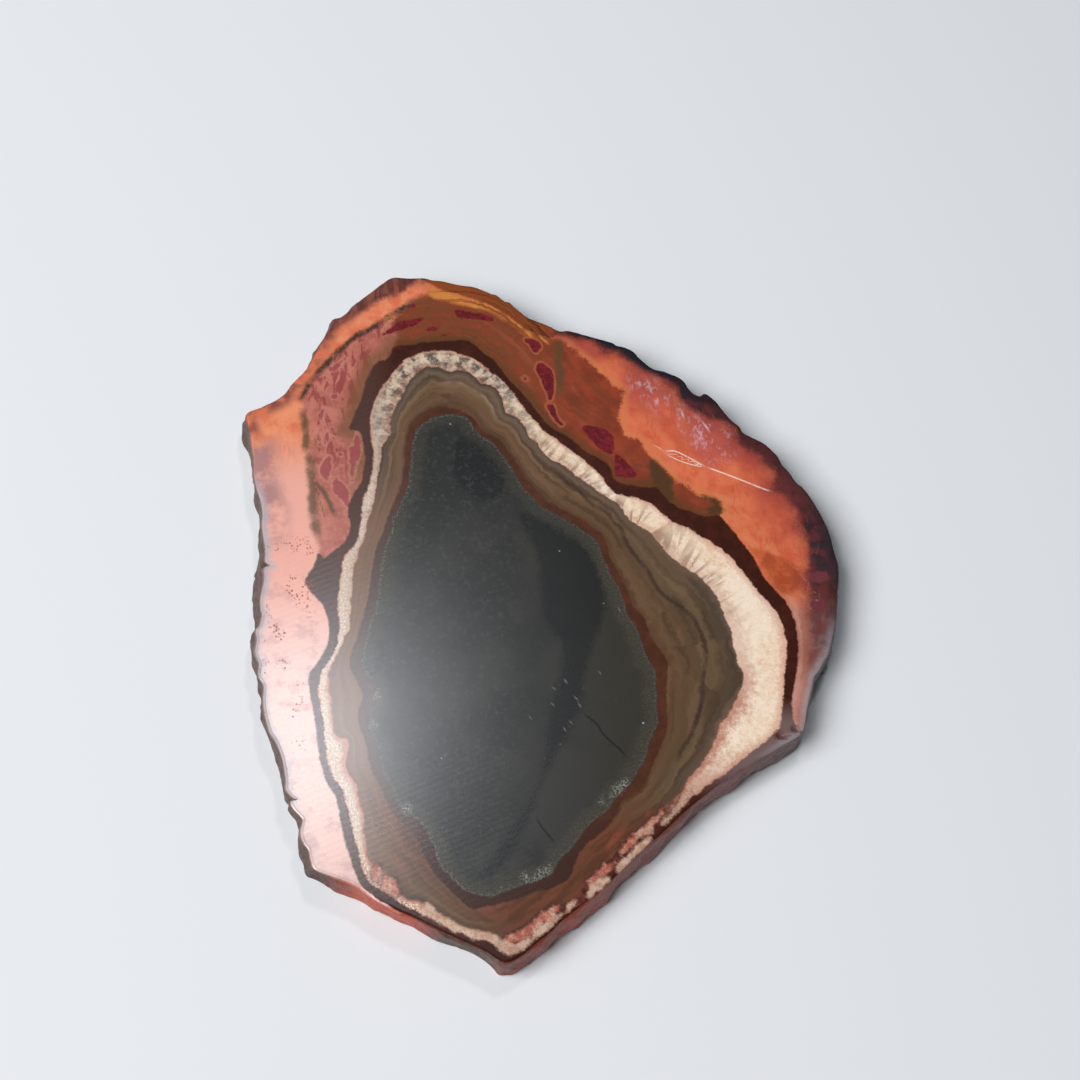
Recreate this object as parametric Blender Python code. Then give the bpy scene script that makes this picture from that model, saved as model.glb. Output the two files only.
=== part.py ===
"""A sawn slice of polychrome jasper, about 74 mm by 90 mm and 5 mm thick, as one solid.

The polished face looks up, the sawn underside is flat, and the wall between them is the broken
skin of the nodule: it leans in or out from place to place, is scalloped by small shell-shaped
breaks, and has a few larger chips. The origin is under the middle of the stone's bounding box.
"""

import math

import bmesh
import bpy
from mathutils import Matrix, Vector, noise

MM = 0.001

THICKNESS = 5.0 * MM
STATION = 1.0 * MM  # spacing of the points round the outline
CURVE_STEPS = 12  # steps along the smooth curve between two of the outline's own points
WALL_LEVELS = [0.35 * MM, 1.3 * MM, 2.4 * MM, 3.5 * MM, 4.55 * MM]  # depths below the polished face

RIM_ROLL = 0.22 * MM  # the polished edge is rubbed round by this much
RIM_DEPTH = 0.25 * MM
SCALLOP_SIZE = 3.1 * MM
SCALLOP_DEPTH = 0.75 * MM
SCALLOP_MEAN = 0.25  # the mean of the squared distance to the nearest scallop's middle, in sizes
GRAIN_SIZE = 1.1 * MM
GRAIN_DEPTH = 0.16 * MM
FOOT_CHIP = 0.3 * MM  # how far the sawn lower edge is broken back
FOOT_DEPTH = 0.6 * MM
CHIP_STANDOFF = 3.0  # a chip's ball is this many chip depths from its middle to its far end

# The edge of the polished face, clockwise from the left corner: x and y in millimetres, then how
# far the underside's edge stands out past it there (less than nothing where the wall leans in).
LEFT_SHOULDER = [
    (-37.2, 22.4, -0.1), (-36.9, 23.1, 0.1), (-35.1, 24.1, 0.3), (-33.1, 25.6, 0.4),
    (-32.0, 27.5, 0.4), (-30.8, 29.2, 0.3), (-29.9, 30.7, 0.3), (-28.9, 33.2, 0.3),
    (-28.1, 35.3, 0.3), (-27.4, 37.0, 0.4), (-27.0, 37.8, 0.4), (-26.1, 38.3, 0.5),
    (-24.9, 39.8, 0.5), (-23.7, 41.2, 0.4), (-22.5, 42.6, 0.4), (-21.3, 43.9, 0.4),
]
TOP_EDGE = [
    (-20.0, 45.05, 0.3), (-17.9, 45.25, 0.3), (-16.1, 45.5, 0.3), (-14.9, 45.3, 0.3),
    (-13.7, 45.4, 0.3), (-11.5, 45.1, 0.4), (-9.3, 45.0, 0.5), (-7.3, 44.25, 0.5),
    (-6.6, 44.2, 0.5), (-5.5, 43.3, 0.5), (-4.9, 43.2, 0.5), (-4.1, 42.5, 0.4),
    (-2.5, 41.3, 0.4), (-1.3, 40.85, 0.3), (0.5, 40.2, 0.3), (1.7, 39.6, 0.3),
    (2.9, 39.85, 0.3), (3.9, 39.65, 0.3), (5.7, 39.35, 0.4), (7.7, 38.95, 0.4),
    (8.7, 38.8, 0.4), (9.2, 38.45, 0.4), (10.3, 38.3, 0.4), (11.4, 37.8, 0.3),
    (12.1, 37.0, 0.3), (13.1, 36.1, 0.3), (14.0, 35.45, 0.3), (16.0, 35.0, 0.3),
    (17.1, 34.7, 0.4), (18.0, 34.1, 0.4), (18.5, 33.2, 0.4), (19.2, 32.4, 0.4),
    (20.1, 32.1, 0.4), (20.8, 32.55, 0.3),
]
RIGHT_SHOULDER = [
    (22.1, 31.6, 0.3), (23.1, 30.2, 0.3), (24.0, 29.1, 0.3), (25.1, 28.1, 0.4),
    (25.6, 27.25, 0.4), (27.3, 26.5, 0.4), (28.3, 26.0, 0.4), (29.2, 25.2, 0.4),
    (30.0, 24.3, 0.3), (30.4, 23.3, 0.3), (31.5, 22.0, 0.3), (32.2, 20.8, 0.4),
    (33.1, 20.0, 0.4), (34.0, 18.8, 0.4), (34.8, 17.3, 0.4), (35.5, 15.8, 0.4),
    (36.3, 13.4, 0.3), (36.6, 11.6, 0.3), (36.9, 10.0, 0.3), (37.05, 8.0, 0.3),
    (36.8, 6.2, 0.4), (36.5, 4.6, 0.4), (36.3, 2.0, 0.5), (35.95, 0.2, 0.6),
    (35.1, -2.8, 0.6), (34.5, -3.9, 0.5), (33.6, -5.5, 0.4), (33.1, -6.1, 0.5),
    (32.7, -7.6, 0.6), (32.1, -9.8, 0.6), (31.7, -11.4, 0.5), (31.5, -12.6, 0.4),
    (31.0, -13.8, 0.3),
]
LOWER_RIGHT = [
    (29.9, -14.7, 0.3), (28.3, -15.7, 0.3), (26.9, -16.7, 0.3), (25.5, -17.6, 0.3),
    (24.3, -18.6, 0.3), (23.5, -18.9, 0.3), (22.4, -19.9, 0.3), (20.6, -21.1, 0.2),
    (18.7, -22.7, 0.3), (17.1, -24.1, 0.6), (15.7, -25.5, 0.6), (14.2, -27.0, 0.8),
    (12.8, -28.4, 0.9), (11.2, -29.8, 0.9), (9.8, -31.3, 0.9), (8.2, -33.0, 0.85),
    (6.7, -34.6, 0.8), (4.9, -36.2, 0.9), (3.4, -37.5, 1.2), (1.5, -39.1, 1.0),
    (0.5, -40.2, 0.7), (-1.5, -42.0, 0.6), (-3.1, -43.4, 0.4), (-4.7, -44.15, -0.1),
]
LOWER_LEFT = [
    (-6.0, -43.6, -0.1), (-7.5, -42.8, -0.4), (-9.5, -42.0, -0.8), (-11.5, -41.2, -0.8),
    (-13.5, -40.4, -0.8), (-15.2, -39.6, -0.8), (-16.9, -38.95, -0.8), (-19.1, -38.0, -0.8),
    (-21.3, -36.5, -0.4), (-23.4, -35.7, -0.2), (-25.2, -35.2, -0.5), (-26.3, -34.7, -0.1),
]
LEFT_EDGE = [
    (-26.7, -33.7, -0.1), (-27.0, -32.6, -0.1), (-27.6, -31.8, -0.4), (-28.0, -30.6, -0.7),
    (-27.8, -29.2, -0.4), (-28.1, -28.7, -0.3), (-29.0, -27.8, -0.5), (-29.3, -27.0, -0.6),
    (-28.7, -26.8, -0.3), (-29.3, -26.3, -0.6), (-29.9, -25.5, -0.6), (-29.95, -24.5, -0.5),
    (-30.3, -22.7, -0.5), (-30.8, -21.1, -0.4), (-31.4, -19.8, -0.5), (-32.1, -18.8, -0.8),
    (-32.8, -16.6, -0.7), (-33.05, -14.9, -0.7), (-33.1, -13.1, -0.4), (-33.75, -12.0, -0.5),
    (-33.8, -10.4, -0.45), (-34.3, -9.0, -0.4), (-34.2, -7.4, -0.35), (-34.4, -6.2, -0.2),
    (-34.0, -5.6, 0.2), (-33.8, -4.2, 0.4), (-34.0, -3.4, 0.5), (-34.1, -2.0, 0.6),
    (-33.95, -0.8, 0.8), (-33.8, 0.4, 0.85), (-33.85, 2.0, 0.8), (-33.2, 2.35, 0.3),
    (-33.8, 2.9, 0.8), (-33.9, 4.4, 0.4), (-34.2, 6.0, -0.1), (-34.5, 7.6, -0.3),
    (-34.5, 9.2, -0.4), (-34.8, 10.8, -0.5), (-35.3, 12.2, -0.6), (-35.7, 13.6, -0.6),
    (-35.9, 15.2, -0.5), (-36.0, 16.6, -0.5), (-36.3, 18.1, -0.45), (-36.5, 19.6, -0.3),
    (-36.9, 21.0, -0.1),
]
OUTLINE = LEFT_SHOULDER + TOP_EDGE + RIGHT_SHOULDER + LOWER_RIGHT + LOWER_LEFT + LEFT_EDGE

# Larger shell-shaped chips out of the wall: where on the outline (x, y) and how high above the
# underside each one's middle is, then half its length, half its height and its depth, all in
# millimetres.
CHIPS = [
    (-7.8, -42.7, 0.6, 3.4, 2.3, 0.8), (-25.2, -35.3, 0.5, 2.2, 1.6, 0.5),
    (-28.6, -28.2, 0.4, 2.6, 2.0, 0.5), (-34.0, -3.4, 0.4, 3.0, 1.6, 0.5),
    (-36.0, 16.0, 0.3, 2.8, 1.9, 0.4), (-33.0, 25.8, 1.0, 3.0, 2.6, 0.5),
    (-27.6, 36.5, 0.2, 3.4, 1.9, 0.6), (-17.0, 45.3, 1.2, 2.4, 1.8, 0.5),
    (-5.2, 43.3, 0.3, 3.0, 2.2, 0.7), (1.5, 39.7, 1.0, 2.6, 2.7, 0.6),
    (10.0, 38.4, 0.2, 2.8, 1.7, 0.5), (19.4, 32.3, 0.5, 3.1, 2.6, 0.9),
    (25.6, 27.4, 1.2, 2.4, 2.4, 0.7), (33.0, 20.1, 0.2, 3.5, 2.0, 0.7),
    (36.6, 4.4, 0.4, 3.2, 1.8, 0.6), (33.3, -5.9, 0.6, 2.6, 2.1, 0.6),
    (24.9, -18.1, 0.3, 2.9, 1.8, 0.5), (9.2, -32.0, 0.2, 3.6, 1.6, 0.5),
    (0.4, -40.2, 0.2, 3.6, 1.5, 0.6),
]


def clear_scene():
    for obj in list(bpy.data.objects):
        bpy.data.objects.remove(obj)


def smooth_loop(points, spacing):
    """Points at an even spacing on the closed Catmull-Rom curve through the given ones."""
    fine = []
    count = len(points)
    for i in range(count):
        a, b, c, d = (points[(i + k) % count] for k in (-1, 0, 1, 2))
        for step in range(CURVE_STEPS):
            t = step / CURVE_STEPS
            fine.append(
                0.5 * ((2 * b) + (c - a) * t + (2 * a - 5 * b + 4 * c - d) * t**2
                       + (3 * b - a - 3 * c + d) * t**3)
            )
    lengths = [(fine[(i + 1) % len(fine)] - fine[i]).xy.length for i in range(len(fine))]
    total = sum(lengths)
    stations = round(total / spacing)
    loop = []
    travelled = 0.0
    for here, length in enumerate(lengths):
        while len(loop) < stations and len(loop) * total / stations <= travelled + length:
            share = (len(loop) * total / stations - travelled) / length
            loop.append(fine[here].lerp(fine[(here + 1) % len(fine)], share))
        travelled += length
    return loop


def outward(loop):
    """The level outward direction at each point of a clockwise loop, smoothed over neighbours."""
    directions = []
    for i in range(len(loop)):
        along = loop[(i + 2) % len(loop)] - loop[i - 2]
        directions.append(Vector((-along.y, along.x, 0)).normalized())
    return directions


def wall_offset(point, depth, lean):
    """How far the wall stands out past the polished face's edge at this depth below the face."""
    share = depth / THICKNESS
    rim = RIM_ROLL * (1 - math.exp(-depth / RIM_DEPTH))
    middle = math.sin(math.pi * share) ** 0.6  # the roughness dies out at both sawn edges
    at = Vector((point.x, point.y, -depth))
    nearest = noise.voronoi(at / SCALLOP_SIZE)[0][0]
    scallop = SCALLOP_DEPTH * (nearest**2 - SCALLOP_MEAN) * middle
    grain = GRAIN_DEPTH * noise.fractal(at / GRAIN_SIZE, 1.0, 2.0, 2) * middle
    foot = FOOT_CHIP * max(0.0, 1 - (THICKNESS - depth) / FOOT_DEPTH) ** 2
    return rim + lean * share + scallop + grain - foot


def slab_mesh(loop):
    """The outline as a filled 2D curve, extruded to the slab's thickness and made a mesh."""
    curve = bpy.data.curves.new("outline", "CURVE")
    curve.dimensions = "2D"
    curve.fill_mode = "BOTH"
    curve.extrude = THICKNESS / 2
    spline = curve.splines.new("POLY")
    spline.points.add(len(loop) - 1)
    for spline_point, point in zip(spline.points, loop):
        spline_point.co = (point.x, point.y, 0, 1)
    spline.use_cyclic_u = True
    guide = bpy.data.objects.new("outline", curve)
    guide.location.z = THICKNESS / 2
    bpy.context.scene.collection.objects.link(guide)
    bpy.context.view_layer.update()
    evaluated = guide.evaluated_get(bpy.context.evaluated_depsgraph_get())
    mesh = bpy.data.meshes.new_from_object(evaluated)
    mesh.transform(guide.matrix_world)
    bpy.data.objects.remove(guide)
    bpy.data.curves.remove(curve)
    return mesh


def break_wall(mesh, loop):
    """Cuts the wall into levels and pushes each of its points out or in to the broken surface."""
    directions = outward(loop)
    bm = bmesh.new()
    bm.from_mesh(mesh)
    bmesh.ops.remove_doubles(bm, verts=bm.verts, dist=0.01 * MM)
    level_faces = [face for face in bm.faces if abs(face.normal.z) > 0.9]
    upper = [face for face in level_faces if face.calc_center_median().z > THICKNESS / 2]
    lower = [face for face in level_faces if face.calc_center_median().z < THICKNESS / 2]
    bmesh.ops.dissolve_faces(bm, faces=upper)
    bmesh.ops.dissolve_faces(bm, faces=lower)
    for depth in WALL_LEVELS:
        bmesh.ops.bisect_plane(
            bm, geom=bm.verts[:] + bm.edges[:] + bm.faces[:], dist=0.001 * MM,
            plane_co=(0, 0, THICKNESS - depth), plane_no=(0, 0, 1),
        )
    for vert in bm.verts:
        nearest = min(range(len(loop)), key=lambda i: (loop[i].xy - vert.co.xy).length_squared)
        depth = THICKNESS - vert.co.z
        lean = loop[nearest].z
        vert.co += directions[nearest] * wall_offset(loop[nearest], depth, lean)
    bmesh.ops.triangulate(bm, faces=bm.faces, ngon_method="BEAUTY")
    bmesh.ops.recalc_face_normals(bm, faces=bm.faces)
    bm.to_mesh(mesh)
    bm.free()


def chip_cutters(cutters, loop):
    """One flattened ball for each chip, its far end sunk into the wall by the chip's depth."""
    directions = outward(loop)
    for number, (x, y, z, half_length, half_height, chip_depth) in enumerate(CHIPS, 1):
        at = Vector((x, y, z)) * MM
        nearest = min(range(len(loop)), key=lambda i: (loop[i].xy - at.xy).length_squared)
        out = directions[nearest]
        share = z * MM / THICKNESS
        face = loop[nearest].xy.to_3d() + out * (RIM_ROLL + loop[nearest].z * (1 - share))
        middle = face + out * (CHIP_STANDOFF - 1) * chip_depth * MM
        middle.z = at.z
        widening = 1 / math.sqrt(1 - ((CHIP_STANDOFF - 1) / CHIP_STANDOFF) ** 2)
        half_sizes = Vector((half_length * widening, CHIP_STANDOFF * chip_depth, half_height * widening))

        bm = bmesh.new()
        bmesh.ops.create_icosphere(bm, subdivisions=3, radius=1.0)
        bmesh.ops.scale(bm, vec=half_sizes * MM, verts=bm.verts)
        turn = Matrix.Rotation(math.atan2(out.y, out.x) - math.pi / 2, 4, "Z")
        bmesh.ops.transform(bm, matrix=Matrix.Translation(middle) @ turn, verts=bm.verts)
        mesh = bpy.data.meshes.new(f"chip_{number}")
        bm.to_mesh(mesh)
        bm.free()
        cutter = bpy.data.objects.new(f"chip_{number}", mesh)
        cutter.hide_render = True
        cutter.display_type = "WIRE"
        cutters.objects.link(cutter)


def jasper_material():
    material = bpy.data.materials.new("jasper")
    material.use_nodes = True
    shader = material.node_tree.nodes["Principled BSDF"]
    shader.inputs["Base Color"].default_value = (0.30, 0.13, 0.08, 1)
    shader.inputs["Roughness"].default_value = 0.22
    shader.inputs["Metallic"].default_value = 0.0
    return material


def build():
    clear_scene()
    parts = bpy.data.collections.new("polychrome_jasper_slice")
    cutters = bpy.data.collections.new("cutters")
    bpy.context.scene.collection.children.link(parts)
    bpy.context.scene.collection.children.link(cutters)

    points = [Vector((x * MM, y * MM, lean * MM)) for x, y, lean in OUTLINE]
    loop = smooth_loop(points, STATION)
    mesh = slab_mesh(loop)
    mesh.name = "jasper_slice"
    break_wall(mesh, loop)

    slab = bpy.data.objects.new("jasper_slice", mesh)
    slab.data.materials.append(jasper_material())
    parts.objects.link(slab)

    chip_cutters(cutters, loop)
    chips = slab.modifiers.new("chips", "BOOLEAN")
    chips.operand_type = "COLLECTION"
    chips.collection = cutters
    chips.operation = "DIFFERENCE"
    chips.solver = "EXACT"

    # The middle of the stone's box goes over the origin.
    bpy.context.view_layer.update()
    evaluated = slab.evaluated_get(bpy.context.evaluated_depsgraph_get())
    corners = [Vector(corner) for corner in evaluated.bound_box]
    middle = (Vector(map(min, *corners)) + Vector(map(max, *corners))) / 2
    shift = Vector((-middle.x, -middle.y, 0))
    slab.location += shift
    for cutter in cutters.objects:
        cutter.location += shift
    cutters.hide_render = True


build()
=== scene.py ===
import math

import bmesh
import bpy
import numpy as np
from mathutils import Matrix, Vector, noise


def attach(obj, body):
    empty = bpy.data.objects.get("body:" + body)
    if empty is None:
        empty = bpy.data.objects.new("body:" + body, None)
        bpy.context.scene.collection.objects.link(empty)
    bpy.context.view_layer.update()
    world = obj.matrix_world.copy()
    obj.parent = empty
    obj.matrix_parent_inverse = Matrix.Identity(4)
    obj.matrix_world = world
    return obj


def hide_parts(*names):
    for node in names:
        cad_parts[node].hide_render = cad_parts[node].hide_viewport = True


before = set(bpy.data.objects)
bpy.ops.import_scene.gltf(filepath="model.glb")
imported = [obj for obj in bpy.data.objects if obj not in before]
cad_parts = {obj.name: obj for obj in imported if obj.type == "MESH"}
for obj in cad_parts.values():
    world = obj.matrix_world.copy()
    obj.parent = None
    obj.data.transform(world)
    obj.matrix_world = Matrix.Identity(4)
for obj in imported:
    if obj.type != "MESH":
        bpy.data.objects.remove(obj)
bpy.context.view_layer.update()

mm = 0.001

# in millimetres, as the stone's drawing is
sliceTolerance = 0.0005
levelGap = 0.001
farAway = 1e6
leastWidth = 0.01

# The stone. Lengths are in millimetres, seen from above the polished face, with +y towards the broad
# end. "drawnFrom" is where the middle of the part's box lies in this drawing.
jasperSlice = {
    "drawnFrom": (0.125, 0.787),
    "thickness": 5.0,
    "refraction": 1.54,
    "stationsRound": 1000,
    "faceGrid": 0.27,        # the polished face is sliced into cells this wide, to carry the markings
    "undersideGrid": 0.9,
    "faceInset": 0.35,
    "curveSteps": 12,
    "outwardReach": 2.0,     # the wall's outward direction is smoothed over this much edge each way
    "wallDepths": [0.05, 0.12, 0.22, 0.4, 0.7, 1.1, 1.6, 2.1, 2.6, 3.1, 3.6, 4.05, 4.45, 4.75, 5.0],
    "rimRoll": 0.22,
    "rimDepth": 0.25,
    "scallopSize": 3.1,
    "scallopDepth": 0.75,
    "scallopMean": 0.25,
    "grainSize": 1.1,
    "grainDepth": 0.16,
    "grainNoise": (1.0, 2.0, 2),   # how fast its layers weaken, how much finer each is, how many
    "bellyPower": 0.6,       # how soon the wall reaches its full roughness below the rim
    "footChip": 0.3,
    "footDepth": 0.6,
    "undersideInset": 0.7,
    # the edge of the polished face, clockwise from the left corner: x, y and how far the
    # underside's edge stands out past it there
    "edge": [
        (-37.2, 22.4, -0.1), (-36.9, 23.1, 0.1), (-35.1, 24.1, 0.3), (-33.1, 25.6, 0.4),
        (-32.0, 27.5, 0.4), (-30.8, 29.2, 0.3), (-29.9, 30.7, 0.3), (-28.9, 33.2, 0.3),
        (-28.1, 35.3, 0.3), (-27.4, 37.0, 0.4), (-27.0, 37.8, 0.4), (-26.1, 38.3, 0.5),
        (-24.9, 39.8, 0.5), (-23.7, 41.2, 0.4), (-22.5, 42.6, 0.4), (-21.3, 43.9, 0.4),
        (-20.0, 45.05, 0.3), (-17.9, 45.25, 0.3), (-16.1, 45.5, 0.3), (-14.9, 45.3, 0.3),
        (-13.7, 45.4, 0.3), (-11.5, 45.1, 0.4), (-9.3, 45.0, 0.5), (-7.3, 44.25, 0.5),
        (-6.6, 44.2, 0.5), (-5.5, 43.3, 0.5), (-4.9, 43.2, 0.5), (-4.1, 42.5, 0.4),
        (-2.5, 41.3, 0.4), (-1.3, 40.85, 0.3), (0.5, 40.2, 0.3), (1.7, 39.6, 0.3),
        (2.9, 39.85, 0.3), (3.9, 39.65, 0.3), (5.7, 39.35, 0.4), (7.7, 38.95, 0.4),
        (8.7, 38.8, 0.4), (9.2, 38.45, 0.4), (10.3, 38.3, 0.4), (11.4, 37.8, 0.3),
        (12.1, 37.0, 0.3), (13.1, 36.1, 0.3), (14.0, 35.45, 0.3), (16.0, 35.0, 0.3),
        (17.1, 34.7, 0.4), (18.0, 34.1, 0.4), (18.5, 33.2, 0.4), (19.2, 32.4, 0.4),
        (20.1, 32.1, 0.4), (20.8, 32.55, 0.3), (22.1, 31.6, 0.3), (23.1, 30.2, 0.3),
        (24.0, 29.1, 0.3), (25.1, 28.1, 0.4), (25.6, 27.25, 0.4), (27.3, 26.5, 0.4),
        (28.3, 26.0, 0.4), (29.2, 25.2, 0.4), (30.0, 24.3, 0.3), (30.4, 23.3, 0.3),
        (31.5, 22.0, 0.3), (32.2, 20.8, 0.4), (33.1, 20.0, 0.4), (34.0, 18.8, 0.4),
        (34.8, 17.3, 0.4), (35.5, 15.8, 0.4), (36.3, 13.4, 0.3), (36.6, 11.6, 0.3),
        (36.9, 10.0, 0.3), (37.05, 8.0, 0.3), (36.8, 6.2, 0.4), (36.5, 4.6, 0.4),
        (36.3, 2.0, 0.5), (35.95, 0.2, 0.6), (35.1, -2.8, 0.6), (34.5, -3.9, 0.5),
        (33.6, -5.5, 0.4), (33.1, -6.1, 0.5), (32.7, -7.6, 0.6), (32.1, -9.8, 0.6),
        (31.7, -11.4, 0.5), (31.5, -12.6, 0.4), (31.0, -13.8, 0.3), (29.9, -14.7, 0.3),
        (28.3, -15.7, 0.3), (26.9, -16.7, 0.3), (25.5, -17.6, 0.3), (24.3, -18.6, 0.3),
        (23.5, -18.9, 0.3), (22.4, -19.9, 0.3), (20.6, -21.1, 0.2), (18.7, -22.7, 0.3),
        (17.1, -24.1, 0.6), (15.7, -25.5, 0.6), (14.2, -27.0, 0.8), (12.8, -28.4, 0.9),
        (11.2, -29.8, 0.9), (9.8, -31.3, 0.9), (8.2, -33.0, 0.85), (6.7, -34.6, 0.8),
        (4.9, -36.2, 0.9), (3.4, -37.5, 1.2), (1.5, -39.1, 1.0), (0.5, -40.2, 0.7),
        (-1.5, -42.0, 0.6), (-3.1, -43.4, 0.4), (-4.7, -44.15, -0.1), (-6.0, -43.6, -0.1),
        (-7.5, -42.8, -0.4), (-9.5, -42.0, -0.8), (-11.5, -41.2, -0.8), (-13.5, -40.4, -0.8),
        (-15.2, -39.6, -0.8), (-16.9, -38.95, -0.8), (-19.1, -38.0, -0.8), (-21.3, -36.5, -0.4),
        (-23.4, -35.7, -0.2), (-25.2, -35.2, -0.5), (-26.3, -34.7, -0.1), (-26.7, -33.7, -0.1),
        (-27.0, -32.6, -0.1), (-27.6, -31.8, -0.4), (-28.0, -30.6, -0.7), (-27.8, -29.2, -0.4),
        (-28.1, -28.7, -0.3), (-29.0, -27.8, -0.5), (-29.3, -27.0, -0.6), (-28.7, -26.8, -0.3),
        (-29.3, -26.3, -0.6), (-29.9, -25.5, -0.6), (-29.95, -24.5, -0.5), (-30.3, -22.7, -0.5),
        (-30.8, -21.1, -0.4), (-31.4, -19.8, -0.5), (-32.1, -18.8, -0.8), (-32.8, -16.6, -0.7),
        (-33.05, -14.9, -0.7), (-33.1, -13.1, -0.4), (-33.75, -12.0, -0.5), (-33.8, -10.4, -0.45),
        (-34.3, -9.0, -0.4), (-34.2, -7.4, -0.35), (-34.4, -6.2, -0.2), (-34.0, -5.6, 0.2),
        (-33.8, -4.2, 0.4), (-34.0, -3.4, 0.5), (-34.1, -2.0, 0.6), (-33.95, -0.8, 0.8),
        (-33.8, 0.4, 0.85), (-33.85, 2.0, 0.8), (-33.2, 2.35, 0.3), (-33.8, 2.9, 0.8),
        (-33.9, 4.4, 0.4), (-34.2, 6.0, -0.1), (-34.5, 7.6, -0.3), (-34.5, 9.2, -0.4),
        (-34.8, 10.8, -0.5), (-35.3, 12.2, -0.6), (-35.7, 13.6, -0.6), (-35.9, 15.2, -0.5),
        (-36.0, 16.6, -0.5), (-36.3, 18.1, -0.45), (-36.5, 19.6, -0.3), (-36.9, 21.0, -0.1),
    ],
    # larger shell-shaped chips out of the wall: x, y, height of the middle above the underside,
    # half length, half height, depth
    "chipStandoff": 3.0,
    "chipReach": 3.0,        # a chip moves no point further in than this many times its depth
    "chips": [
        (-7.8, -42.7, 0.6, 3.4, 2.3, 0.8), (-25.2, -35.3, 0.5, 2.2, 1.6, 0.5),
        (-28.6, -28.2, 0.4, 2.6, 2.0, 0.5), (-34.0, -3.4, 0.4, 3.0, 1.6, 0.5),
        (-36.0, 16.0, 0.3, 2.8, 1.9, 0.4), (-33.0, 25.8, 1.0, 3.0, 2.6, 0.5),
        (-27.6, 36.5, 0.2, 3.4, 1.9, 0.6), (-17.0, 45.3, 1.2, 2.4, 1.8, 0.5),
        (-5.2, 43.3, 0.3, 3.0, 2.2, 0.7), (1.5, 39.7, 1.0, 2.6, 2.7, 0.6),
        (10.0, 38.4, 0.2, 2.8, 1.7, 0.5), (19.4, 32.3, 0.5, 3.1, 2.6, 0.9),
        (25.6, 27.4, 1.2, 2.4, 2.4, 0.7), (33.0, 20.1, 0.2, 3.5, 2.0, 0.7),
        (36.6, 4.4, 0.4, 3.2, 1.8, 0.6), (33.3, -5.9, 0.6, 2.6, 2.1, 0.6),
        (24.9, -18.1, 0.3, 2.9, 1.8, 0.5), (9.2, -32.0, 0.2, 3.6, 1.6, 0.5),
        (0.4, -40.2, 0.2, 3.6, 1.5, 0.6),
    ],
    # small open pits in the polished face: x, y, half length along x, half width, depth
    "pits": [
        (28.5, -14.2, 1.0, 0.6, 0.45), (30.3, -13.3, 0.6, 0.5, 0.3),
    ],
}


def tint(code):
    channels = [int(code[i:i + 2], 16) / 255 for i in (1, 3, 5)]
    return tuple(c / 12.92 if c <= 0.04045 else ((c + 0.055) / 1.055) ** 2.4 for c in channels) + (1,)


def smoothCurve(points, steps, closed=True):
    # a curve through the given points, each stretch between two of them cut into equal steps
    spots = np.array(points, float)
    if not closed:
        spots = np.vstack([2 * spots[0] - spots[1], spots, 2 * spots[-1] - spots[-2]])
    a, b, c, d = (np.roll(spots, -k, axis=0)[:, None] for k in (-1, 0, 1, 2))
    t = (np.arange(steps) / steps)[None, :, None]
    curve = 0.5 * (2 * b + (c - a) * t + (2 * a - 5 * b + 4 * c - d) * t**2
                   + (3 * b - a - 3 * c + d) * t**3)
    if closed:
        return curve.reshape(-1, spots.shape[1])
    return np.vstack([curve[1:-2].reshape(-1, spots.shape[1]), spots[-2:-1]])


def evenStations(curve, count):
    ring = np.vstack([curve, curve[:1]])
    steps = np.hypot(*np.diff(ring[:, :2], axis=0).T)
    travelled = np.concatenate([[0], np.cumsum(steps)])
    places = np.arange(count) * travelled[-1] / count
    return np.column_stack([np.interp(places, travelled, ring[:, k]) for k in range(ring.shape[1])])


def outwardDirections(loop, reach):
    along = np.roll(loop[:, :2], -reach, axis=0) - np.roll(loop[:, :2], reach, axis=0)
    outward = np.column_stack([-along[:, 1], along[:, 0]])
    return outward / np.hypot(*outward.T)[:, None]


def wallOffset(stone, x, y, depth, lean):
    # how far the broken wall stands out past the polished face's edge at this depth
    share = depth / stone["thickness"]
    roll = stone["rimRoll"] * (1 - math.exp(-depth / stone["rimDepth"]))
    middle = max(0.0, math.sin(math.pi * share)) ** stone["bellyPower"]
    at = Vector((x, y, -depth))
    nearest = noise.voronoi(at / stone["scallopSize"])[0][0]
    scallop = stone["scallopDepth"] * (nearest**2 - stone["scallopMean"]) * middle
    grain = stone["grainDepth"] * noise.fractal(at / stone["grainSize"], *stone["grainNoise"]) * middle
    foot = stone["footChip"] * max(0.0, 1 - (stone["thickness"] - depth) / stone["footDepth"]) ** 2
    return roll + lean * share + scallop + grain - foot


def breakChip(stone, loop, outward, walls, chip):
    # a flattened ball bites into the wall: each wall point inside it goes back to its surface
    x, y, z, halfLength, halfHeight, depth = chip
    standoff = stone["chipStandoff"]
    nearest = np.argmin(np.hypot(loop[:, 0] - x, loop[:, 1] - y))
    out = Vector((*outward[nearest], 0))
    lean = loop[nearest, 2] * (1 - z / stone["thickness"])
    middle = Vector((*loop[nearest, :2], 0)) + out * (stone["rimRoll"] + lean + (standoff - 1) * depth)
    middle.z = z
    widening = 1 / math.sqrt(1 - ((standoff - 1) / standoff) ** 2)
    for vert in walls:
        away = vert.co - middle
        side = (away.x * out.y - away.y * out.x) / (halfLength * widening)
        rise = away.z / (halfHeight * widening)
        room = 1 - side**2 - rise**2
        if room > 0:
            surface = -standoff * depth * math.sqrt(room)
            push = surface - away.dot(out)
            if -stone["chipReach"] * depth < push < 0:
                vert.co += out * push


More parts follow.
